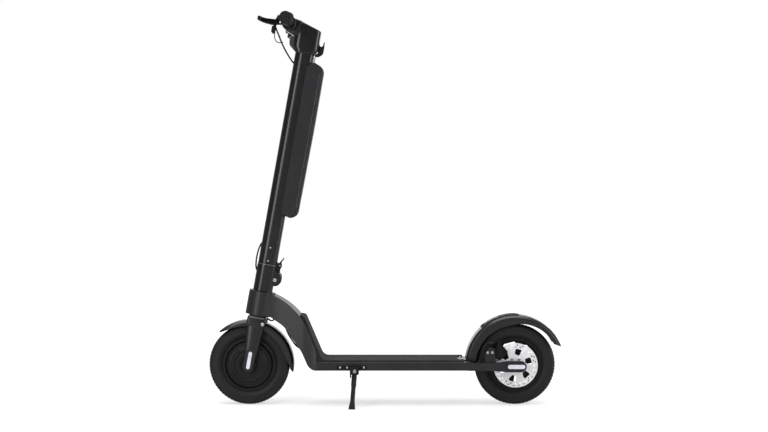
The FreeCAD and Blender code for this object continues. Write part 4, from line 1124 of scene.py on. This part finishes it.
@dataclass
class RearWheel:
    """Tyre and tyre valve of the trailing wheel.

    Args:
        valve_angle: degrees above the horizontal, behind the axle.
        valve_radius: where the valve's foot is.
        valve_y: how far to the left it lies.
    """

    valve_angle: float = 47.0
    valve_radius: float = 76.0
    valve_y: float = -9.0

    def valve(self) -> Skin:
        """Stem and cap: a profile turned about a radius of the wheel.

        Returns:
            The skin in the row frame.
        """
        profile = [(0.01, 0), (2.6, 0), (2.6, 8), (3.2, 8.4), (3.2, 15.5), (2.6, 16.6), (0.01, 16.6)]
        a = math.radians(self.valve_angle)
        out = np.array([math.cos(a), 0, math.sin(a)])
        foot = REAR.origin + out * self.valve_radius + EY * self.valve_y
        return turned(np.array(profile), 16, Plane.XY).placed(Axes(foot, EY, np.cross(-out, EY), -out))

    def build(self) -> None:
        """Makes the tyre and the valve."""
        Tyre("rear_tyre_skin", REAR, Body.REAR_WHEEL, "rear_tyre").build()
        Piece("tyre_valve", self.valve(), Body.REAR_WHEEL, "black_plastic", sharp=40).build()


# ---------------------------------------------------------------- steering

@dataclass
class Fork:
    """Fork with legs of oval section that narrow downward, joined by a rounded crown.

    Args:
        inside, outside: where the legs' faces lie, to each side.
        top, crown: heights of the crown's top and underside.
        skirt: how far the crown reaches down beside the legs.
        leg_top: height at which the legs end, inside the crown.
        half_top, half_foot: half depth of the leg at the crown and at its foot.
        power: of the legs' superellipse.
        crown_edge: radius of the crown's rims.
        steerer, steerer_bore: radius and bore of the steerer.
        steerer_foot, steerer_top: its two ends.
    """

    inside: float = 34.0
    outside: float = 54.0
    top: float = 158.0
    crown: float = 145.0
    skirt: float = 22.0
    leg_top: float = 152.0
    half_top: float = 30.0
    half_foot: float = 17.0
    power: float = 2.5
    crown_edge: float = 7.0
    steerer: float = 15.0
    steerer_bore: float = 9.0
    steerer_foot: float = 154.0
    steerer_top: float = 240.0

    def leg(self) -> Skin:
        """One leg: a superellipse in t and y carried down the steering axis, narrowing, with a round foot.

        The half depth falls evenly from the crown to the axle and then as a quarter circle to the foot.

        Returns:
            The closed skin in the steering frame.
        """
        foot = -self.half_foot * np.sin(np.linspace(0.12, math.pi / 2 - 0.12, 9))
        s = np.concatenate([np.linspace(self.leg_top, 20, 30), np.linspace(14, 0, 5), foot])
        half = self.half_foot + (self.half_top - self.half_foot) * np.clip(s / self.top, 0, 1)
        half = half * np.sqrt(1 - np.clip(-s / self.half_foot, 0, 1) ** 2)
        thick = np.full_like(s, (self.outside - self.inside) / 2)
        ring = rounded_ring(half, thick, self.power, 48)
        y = ring[..., 1] + (self.inside + self.outside) / 2
        points = np.stack([ring[..., 0], y, np.broadcast_to(s[:, None], ring.shape[:2])], -1)
        return grid(points[::-1], wrap_columns=True, caps=True)

    def bridge(self) -> Skin:
        """Crown: a rounded outline in y and s carried along t, with rounded rims.

        Returns:
            The closed skin in the steering frame.
        """
        wide, narrow, low = self.outside, self.inside - 1, self.crown - self.skirt
        corners = [(-wide, low, 6), (-narrow, low, 4), (-narrow, self.crown, 9), (narrow, self.crown, 9),
                   (narrow, low, 4), (wide, low, 6), (wide, self.top, 13), (-wide, self.top, 13)]
        return pillow(smooth_outline(corners, 1.5), -self.half_top, self.half_top, self.crown_edge, Plane.YZ)

    def column(self) -> Skin:
        """Steerer between the crown and the head shell: a plain turned tube.

        Returns:
            The closed skin in the steering frame.
        """
        radii = (self.steerer_bore, self.steerer, self.steerer, self.steerer_bore)
        heights = (self.steerer_foot, self.steerer_foot, self.steerer_top, self.steerer_top)
        return turned(np.stack([radii, heights], 1), 40, Plane.XY, closed=True)

    def build(self) -> None:
        """Makes the fork in one piece, mirrored legs and all."""
        leg = self.leg()
        whole = leg.joined(leg.mirrored(), self.bridge(), self.column())
        Piece("fork_skin", whole.placed(STEM), Body.STEERING, "gloss_black",
              replaces=["fork"], sharp=40).build()


@dataclass
class FrontFender:
    """Arched guard over the front wheel, its side flanges deepest behind the fork and thin at both tips.

    Args:
        radius, half: outside radius and half width.
        thickness: of its wall.
        flange, shoulder: how far below the outside radius the flanges end and the shoulder starts.
        edge: (degrees above the horizontal behind the axle, radius) of the flanges' lower edge.
        tip_run: degrees over which each tip is rounded in plan.
        tip_cut: how much of the width, squared, is taken off at the very tip.
        boss_radius, boss_foot, boss_top: the post that meets the crown.
        bolt_radius: of the hole in the post.
    """

    radius: float = 141.0
    half: float = 31.0
    thickness: float = 3.0
    flange: float = 27.0
    shoulder: float = 10.5
    edge: Outline = ((-10, 138.6), (-6, 131), (8, 120), (20, 115.5), (41, 114), (70, 118.5), (98, 123.5),
                     (110, 126), (120, 128.5), (126, 132), (133, 138.2))
    tip_run: float = 8.0
    tip_cut: float = 0.75
    boss_radius: float = 11.0
    boss_foot: float = 136.0
    boss_top: float = 145.0
    bolt_radius: float = 4.2

    def half_section(self, half: float, radius: float) -> np.ndarray:
        """One side of the section: up the flange, round the shoulder and over the crown.

        Args:
            half: half width.
            radius: radius of the crown.

        Returns:
            Array of (radius, y).
        """
        low = radius - self.flange
        corners = smooth_outline([(low, -half), (radius - 7, -half, 6), (radius, 9 - half, 9), (radius, 0)],
                                 1.2)
        flange = np.stack([np.linspace(low, radius - 11, 6), np.full(6, -half)], 1)
        return np.vstack([flange, corners[corners[:, 0] > radius - self.shoulder]])

    def shell(self) -> Skin:
        """Outside and inside of the section at every angle, cut off at the flange's lower edge.

        A point's radius is the greater of the section's and the edge's at that angle. Near each tip y is
        multiplied by a quarter ellipse, so that the plan is round there.

        Returns:
            The closed skin in the row frame.
        """
        places = np.array(self.edge, float)
        degrees = np.concatenate([np.linspace(-10, -2, 14), np.linspace(0, 122, 80),
                                  np.linspace(124, 133, 14)])
        edge = np.interp(degrees, places[:, 0], places[:, 1])
        outer = self.half_section(self.half, self.radius)
        inner = self.half_section(self.half - self.thickness, self.radius - self.thickness)
        section = np.vstack([outer, (outer * [1, -1])[::-1], inner * [1, -1], inner[::-1]])
        tip = np.minimum(degrees - degrees[0], degrees[-1] - degrees)
        narrow = np.sqrt(1 - (1 - np.clip(tip / self.tip_run, 0, 1)) ** 2 * self.tip_cut)
        r = np.maximum(section[:, 0][None], edge[:, None])
        y = section[:, 1][None] * narrow[:, None]
        a = np.radians(degrees)[:, None]
        points = np.stack([r * np.cos(a), y, r * np.sin(a)], -1)
        return about(grid(points, wrap_columns=True, caps=True), FRONT)

    def boss(self) -> Skin:
        """Post between the fender and the crown: a tube with a flared foot.

        Returns:
            The closed skin in the row frame.
        """
        corners = [(self.bolt_radius, self.boss_foot), (self.boss_radius + 3, self.boss_foot),
                   (self.boss_radius, self.radius + 1.5, 2), (self.boss_radius, self.boss_top, 0.6),
                   (self.bolt_radius, self.boss_top)]
        return turned(smooth_outline(corners, 0.7), 36, Plane.XY, closed=True).placed(STEM)

    def build(self) -> None:
        """Makes the guard."""
        Piece("front_fender_skin", self.shell().joined(self.boss()), Body.STEERING, "black_plastic",
              replaces=["front_fender"], sharp=40).build()


# ---------------------------------------------------------------- stem and head

STEM_DEPTH, STEM_WIDTH = 30.0, 26.0
STEM_FRONT_ROUND, STEM_REAR_ROUND = 0.98, 0.62
BAR = (-62.0, 1079.0)


def stem_section(grown: float) -> Outline:
    """Corners of the stem's section, grown all round: round in front, flatter behind.

    Args:
        grown: how far it is grown.

    Returns:
        The corners as (t, y, radius).
    """
    depth, width = STEM_DEPTH + grown, STEM_WIDTH + grown
    front, rear = width * STEM_FRONT_ROUND, width * STEM_REAR_ROUND
    return [(-depth, -width, front), (depth, -width, rear), (depth, width, rear), (-depth, width, front)]


@dataclass
class Head:
    """Casing over the top of the stem, its plan round like the stem's and its top slanted for the display.

    Args:
        bottom: height of its foot.
        foot_front, foot_rear: ends of its foot along t.
        rear, front: ends of its slanted top, as (t, s).
        half_width: half width of the casing.
        spread: share of its height over which it grows from the foot's depth to the top's.
        sunk: how far its top lies under the glass.
        boss_radius, boss_half, boss_bore: the cross tube that holds the bar.
        bridge_edge: radius of the rims of the block between the two.
    """

    bottom: float = 995.0
    foot_front: float = -31.5
    foot_rear: float = 32.5
    rear: tuple[float, float] = (40.0, 1072.0)
    front: tuple[float, float] = (-43.0, 1098.0)
    half_width: float = 30.0
    spread: float = 0.22
    sunk: float = 0.6
    boss_radius: float = 23.0
    boss_half: float = 50.0
    boss_bore: float = 11.2
    bridge_edge: float = 4.0

    def casing(self) -> Skin:
        """Loft: the plan outline, its t stretched between two limits that depend on height.

        A point's height is bottom + u * (top plane at its t - bottom). The limits run smoothly from the
        foot's to the ends of the slanted top. Both ends of the loft are rounded by moving their rings in.

        Returns:
            The closed skin in the steering frame.
        """
        plan = smooth_outline([(-1, -1, 0.62), (1, -1, 0.52), (1, 1, 0.52), (-1, 1, 0.62)], 0.05)
        neck, body = np.linspace(0.06, 0.3, 7), np.linspace(0.4, 0.95, 7)
        u = np.concatenate([[0, 0, 0.01, 0.03], neck, body, [0.975, 0.992, 1, 1]])
        rim = np.concatenate([[2.4, 1.2, 0.3, 0], np.zeros(len(neck) + len(body)), [0.15, 0.8, 1.9, 3.2]])
        grown = np.clip(u / self.spread, 0, 1)
        grown = grown * grown * (3 - 2 * grown)
        low = self.foot_front + (self.front[0] - self.foot_front) * grown + rim
        high = self.foot_rear + (self.rear[0] - self.foot_rear) * grown - rim
        t = low[:, None] + (high - low)[:, None] * (plan[:, 0] + 1) / 2
        y = plan[:, 1] * (self.half_width - rim)[:, None]
        share = (t - self.rear[0]) / (self.front[0] - self.rear[0])
        top = self.rear[1] + share * (self.front[1] - self.rear[1]) - self.sunk
        s = self.bottom + u[:, None] * (top - self.bottom)
        return grid(np.stack([t, y, s], -1), wrap_columns=True, caps=True)

    def bridge(self) -> Skin:
        """Block between the casing and the cross tube, its rims rounded.

        Returns:
            The closed skin in the steering frame.
        """
        corners = [(-26, 1046, 2), (-46, 1046, 3), (-74, 1057, 10), (-68, 1096.5, 10), (-43, 1097.2, 5),
                   (-26, 1091.8, 2)]
        half = self.half_width - 1.0
        return pillow(smooth_outline(corners, 1.2), -half, half, self.bridge_edge)

    def cross_tube(self) -> Skin:
        """Tube round the bar with rounded ends and a shallow groove near each.

        Returns:
            The closed skin in the steering frame.
        """
        r, h = self.boss_radius, self.boss_half
        half = [(self.boss_bore, -h, 0.3), (r - 3.2, -h, 1.6), (r, 3.4 - h, 1.8), (r, 14 - h, 0.3),
                (r - 0.8, 14.3 - h, 0.2), (r - 0.8, 15.7 - h, 0.2), (r, 16 - h, 0.3)]
        return turned(smooth_outline(both_sides(half), 0.6), 72, centre=BAR, closed=True)

    def build(self) -> None:
        """Makes the casing in one piece."""
        whole = self.casing().joined(self.bridge(), self.cross_tube())
        Piece("head_skin", whole.placed(STEM), Body.STEM, "gloss_black",
              replaces=["head_casing"], sharp=42).build()


@dataclass
class StemFoldHighlight:
    """Thin bright metal ring where the stem folds, its brightness a painted highlight along the split line's
    edge.

    Args:
        bottom, top: its two faces.
        proud: how far it stands out of the stem.
        edge: radius of its rims.
    """

    bottom: float = 321.1
    top: float = 322.1
    proud: float = 0.25
    edge: float = 0.3

    def build(self) -> None:
        """Makes the seam, a bright ring that paints the edge's highlight: the stem's section carried up by
        its thickness.
        """
        outline = smooth_outline(stem_section(self.proud), 1.0)
        skin = pillow(outline, self.bottom, self.top, self.edge, Plane.XY, 3)
        # the bright metal finish is a painted highlight along the fold's edge
        Piece("fold_seam_highlight", skin.placed(STEM), Body.STEM, "aluminium", sharp=40).build()


@dataclass
class Battery:
    """Battery case: a saddle that wraps the back of the stem, round rear corners and round ends.

    Args:
        bottom, top: its two ends along the stem.
        front, rear: how far forward and rearward it reaches.
        half_width: half its width.
        corner: radius of its rear corners.
        gap: clearance round the stem.
        end_run: height over which each end is rounded in side view.
        rim, rim_run: how far the ends' sides are drawn in, and over what height.
        lip: chamfer of its front edges.
        least_wall: least depth left behind the saddle.
        seam_radius: of the raised lines along its sides, whose pale grey is a painted highlight.
    """

    bottom: float = 479.0
    top: float = 974.0
    front: float = 14.5
    rear: float = 71.0
    half_width: float = 31.0
    corner: float = 11.0
    gap: float = 0.8
    end_run: float = 27.0
    rim: float = 4.0
    rim_run: float = 5.0
    lip: float = 0.8
    least_wall: float = 3.0
    seam_radius: float = 0.45

    def outline(self) -> np.ndarray:
        """Side outline, rounded at both ends.

        Returns:
            Array of (t, s).
        """
        return smooth_outline([
            (self.front, self.bottom + 8, 8), (44, self.bottom, 12), (self.rear - 3, self.bottom + 3, 26),
            (self.rear, self.bottom + 300), (self.rear - 1, self.top - 14, 26), (34, self.top, 12),
            (self.front, self.top - 18, 8),
        ], 1.0)

    def limits(self, s: np.ndarray) -> tuple[np.ndarray, np.ndarray]:
        """Least and greatest t of the side outline at each height, from where its edges cross that height.

        Args:
            s: the heights.

        Returns:
            The two limits.
        """
        a = self.outline()
        b, level = np.roll(a, -1, 0), s[:, None]
        crosses = (np.minimum(a[:, 1], b[:, 1]) <= level) & (np.maximum(a[:, 1], b[:, 1]) >= level)
        rise = np.where(np.abs(b[:, 1] - a[:, 1]) < TINY, TINY, b[:, 1] - a[:, 1])
        t = a[:, 0] + (b[:, 0] - a[:, 0]) * np.clip((level - a[:, 1]) / rise, 0, 1)
        return np.where(crosses, t, np.inf).min(1), np.where(crosses, t, -np.inf).max(1)

    def heights(self) -> np.ndarray:
        """Heights of the loft's rings, close together at both ends where they step by a cosine.

        Returns:
            The heights, rising.
        """
        foot, head = self.outline()[:, 1].min(), self.outline()[:, 1].max()
        ends = self.end_run * (1 - np.cos(np.linspace(0.05, math.pi / 2, 16)))
        return np.concatenate([foot + ends, np.linspace(foot + 40, head - 40, 24), (head - ends)[::-1]])

    def skin(self) -> Skin:
        """Loft of a C-shaped section up the stem.

        The section runs round the outside (rear corners moved with the greatest t of that height) and back
        through the saddle, which follows the stem's own section at a gap and is cut off where the case ends.

        Returns:
            The closed skin in the steering frame.
        """
        foot, head = self.outline()[:, 1].min(), self.outline()[:, 1].max()
        s = self.heights()
        low, high = self.limits(s)
        near = np.minimum(s - foot, head - s)
        drawn_in = self.rim * (1 - np.sqrt(1 - np.clip(1 - near / self.rim_run, 0, 0.98) ** 2))
        half = self.half_width - drawn_in
        turn = np.linspace(0, math.pi / 2, 8)
        radius = np.minimum(self.corner, (high - low) / 2.2)[:, None]
        along = np.array([0.0, 0.012, 0.03, 0.97, 0.99])
        side_t = low[:, None] + (high[:, None] - radius - low[:, None]) * along
        side_y = np.broadcast_to(-half[:, None], side_t.shape).copy()
        side_y[:, 0] += self.lip
        corner_t = high[:, None] - radius * (1 - np.sin(turn))
        corner_y = -half[:, None] + radius * (1 - np.cos(turn))
        outer_t, outer_y = np.hstack([side_t, corner_t]), np.hstack([side_y, corner_y])
        saddle = smooth_outline(stem_section(self.gap), 1.5)
        saddle = saddle[saddle[:, 0] > self.front][::-1]
        inner_t = np.minimum(np.maximum(saddle[:, 0], low[:, None]), high[:, None] - self.least_wall)
        inner_y = np.broadcast_to(saddle[:, 1], inner_t.shape)
        t = np.hstack([outer_t, outer_t[:, ::-1], inner_t])
        y = np.hstack([outer_y, -outer_y[:, ::-1], inner_y])
        return grid(np.stack([t, y, np.broadcast_to(s[:, None], t.shape)], -1), wrap_columns=True, caps=True)

    def seam(self) -> Skin:
        """Fine raised line along each side near the rear corner, pale grey as a painted highlight of the
        rounded rear edge: a circle carried along a straight path.

        Returns:
            The skin in the steering frame.
        """
        s = np.linspace(self.bottom + 34, self.top - 38, 12)
        t, y = self.rear - self.corner - 1.0, -self.half_width - 0.05
        line = sweep(np.stack([np.full_like(s, t), np.full_like(s, y), s], 1), circle(self.seam_radius, 8),
                     up=(1, 0, 0))
        return line.joined(line.mirrored())

    def build(self) -> None:
        """Makes the case and its seams, the seams coloured pale grey as a painted highlight."""
        Piece("battery_skin", self.skin().placed(STEM), Body.BATTERY, "battery_shell",
              replaces=["battery_case"], sharp=40).build()
        # the seams' pale grey is a painted highlight along the rear edge
        Piece("battery_highlight_seams", self.seam().placed(STEM), Body.BATTERY, "battery_shell",
              PAINTED_SEAM_HIGHLIGHT, "seam_painted_highlight").build()


@dataclass
class Grips:
    """Ribbed rubber grips with flanged ends and a ring and a mark on their end faces.

    Args:
        start, end: the inner and the outer end, from the middle.
        bore: radius of the bar's hole.
        radius, flange: radii over the ribs and over the outer flange.
        groove_pitch, groove_depth: of the ribs' grooves.
    """

    start: float = 103.0
    end: float = 225.0
    bore: float = 11.1
    radius: float = 16.5
    flange: float = 19.5
    groove_pitch: float = 4.2
    groove_depth: float = 0.7

    def profile(self) -> np.ndarray:
        """Outside from the inner end outward; each groove is a sine cut to 0..1.

        Returns:
            Array of (radius, y).
        """
        a, e, f = self.start, self.end, self.flange
        inner = smooth_outline([(self.bore, a), (f - 1, a, 1.2), (f - 1, a + 4, 1.2), (self.radius, a + 5),
                                (self.bore, a + 5)], 0.5)
        inner = inner[inner[:, 1] < a + 4.9]
        # by height, with the radius as a small weight; on the flat end face this leaves a shallow fold
        flat = inner[:, 1] < a + 1e-6
        order = np.argsort(inner[:, 1] * 100 + np.where(flat, 1, -1) * inner[:, 0], kind="stable")
        y = np.arange(a + 5.5, e - 7.5, 0.6)
        groove = np.clip(np.sin(2 * math.pi * (y - a) / self.groove_pitch) * 1.6 - 0.6, 0, 1)
        ribs = np.stack([self.radius - groove * self.groove_depth, y], 1)
        tip = [(f - 1.4, e - 6.6), (f - 0.4, e - 5.8), (f, e - 4.8), (f, e - 1.6), (f - 0.5, e - 0.5),
               (f - 1.6, e), (13.2, e), (12.8, e - 0.7), (11.4, e - 0.7), (11.0, e), (4.4, e), (4.0, e - 0.6),
               (1.0, e - 0.6)]
        return np.concatenate([inner[order], ribs, np.array(tip)])

    def build(self) -> None:
        """Makes both grips."""
        right = turned(self.profile(), 72, centre=BAR)
        Piece("grip_skins", right.joined(right.mirrored()).placed(STEM), Body.STEM, "grip_rubber",
              GRIP_RUBBER_FINE, "grip_rubber_fine", replaces=["grips"], sharp=40).build()


@dataclass
class Cables:
    """Brake cable and switch wire at the bar, and the two curved cables that cross joints.

    Args:
        radius, wire_radius: of the cables and of the switch wire.
        count, wire_count: points round each.
        fold_bend: two heights on the stem, whose points are given to the cable over the fold as its bend.
        fork_bend: two places in metres, given to the cable under the crown as its bend.
    """

    radius: float = 2.5
    wire_radius: float = 1.4
    count: int = 14
    wire_count: int = 10
    fold_bend: tuple[float, float] = (300.0, 395.0)
    fork_bend: Outline = ((-0.370, 0.014, 0.266), (-0.351, 0.019, 0.266))

    def at_bar(self) -> Skin:
        """Thick cable from the lever to the front of the stem, and a thin wire that dips and joins it.

        Returns:
            The skin in the steering frame.
        """
        thick = spline([(-95, -91, 1052), (-90, -89, 1043), (-82, -82, 1030), (-73, -68, 1014),
                        (-64, -50, 1000), (-55, -32, 988), (-45, -15, 976), (-35, -3, 966), (-25, 0, 957),
                        (-15, 0, 949)], 8)
        thin = spline([(-98, -84, 1040), (-98, -83, 1031), (-94, -80, 1019), (-86, -75, 1011),
                       (-78, -70, 1011), (-72, -66, 1014)], 8)
        wire = sweep(thin, circle(self.wire_radius, self.wire_count))
        return sweep(thick, circle(self.radius, self.count)).joined(wire)

    def at_fold(self) -> Skin:
        """Cable down the front of the stem past the fold, in the steering frame."""
        path = spline([(-20, 0, 400), (-27, 0, 390), (-33, 0, 376), (-36.5, 0, 358), (-37.5, 0, 338),
                       (-36.5, 0, 318), (-33, 0, 302), (-25, 0, 291), (-17, 0, 284)], 8)
        return sweep(path, circle(self.radius, self.count), up=(0, 1, 0))

    def at_fork(self) -> Skin:
        """Short loop from the fork crown to the neck, in the row frame."""
        path = spline([(-371.4, 14, 268.4), (-365, 16, 262.5), (-356, 18, 262), (-350.5, 19, 270.5)], 10)
        return sweep(path, circle(self.radius, self.count), up=(0, 1, 0))

    def build(self) -> None:
        """Makes the cables."""
        Piece("bar_cable_skins", self.at_bar().placed(STEM), Body.STEM, "cable",
              replaces=["bar_cables"]).build()
        ends = STEM.place(np.array([(-20, 0, s) for s in self.fold_bend])) * MM
        Piece("fold_cable_skin", self.at_fold().placed(STEM), Body.STEERING, "cable",
              replaces=["fold_cable"], bend=(Body.STEM, *ends)).build()
        Piece("motor_cable_skin", self.at_fork(), Body.STEERING, "cable",
              replaces=["motor_cable"], bend=(Body.ROOT, *self.fork_bend)).build()


def dress_nodes() -> None:
    """Gives every CAD node the finish of its record slot."""
    for node in frame["nodes"].values():
        for holder in node.material_slots:
            if holder.material.name in FINISHES:
                holder.material = WARDROBE.get(holder.material.name)


def main() -> None:
    """Builds the whole scene."""
    logging.basicConfig(level=logging.INFO, format="%(name)s %(message)s")
    bpy.context.scene.view_settings.view_transform = "Standard"
    Studio().build()
    dress_nodes()
    for part in (FrontWheel(), RearWheel(), Fork(), FrontFender(), Head(), StemFoldHighlight(), Battery(), Grips(),
                 Cables()):
        part.build()


if __name__ == "__main__":
    main()
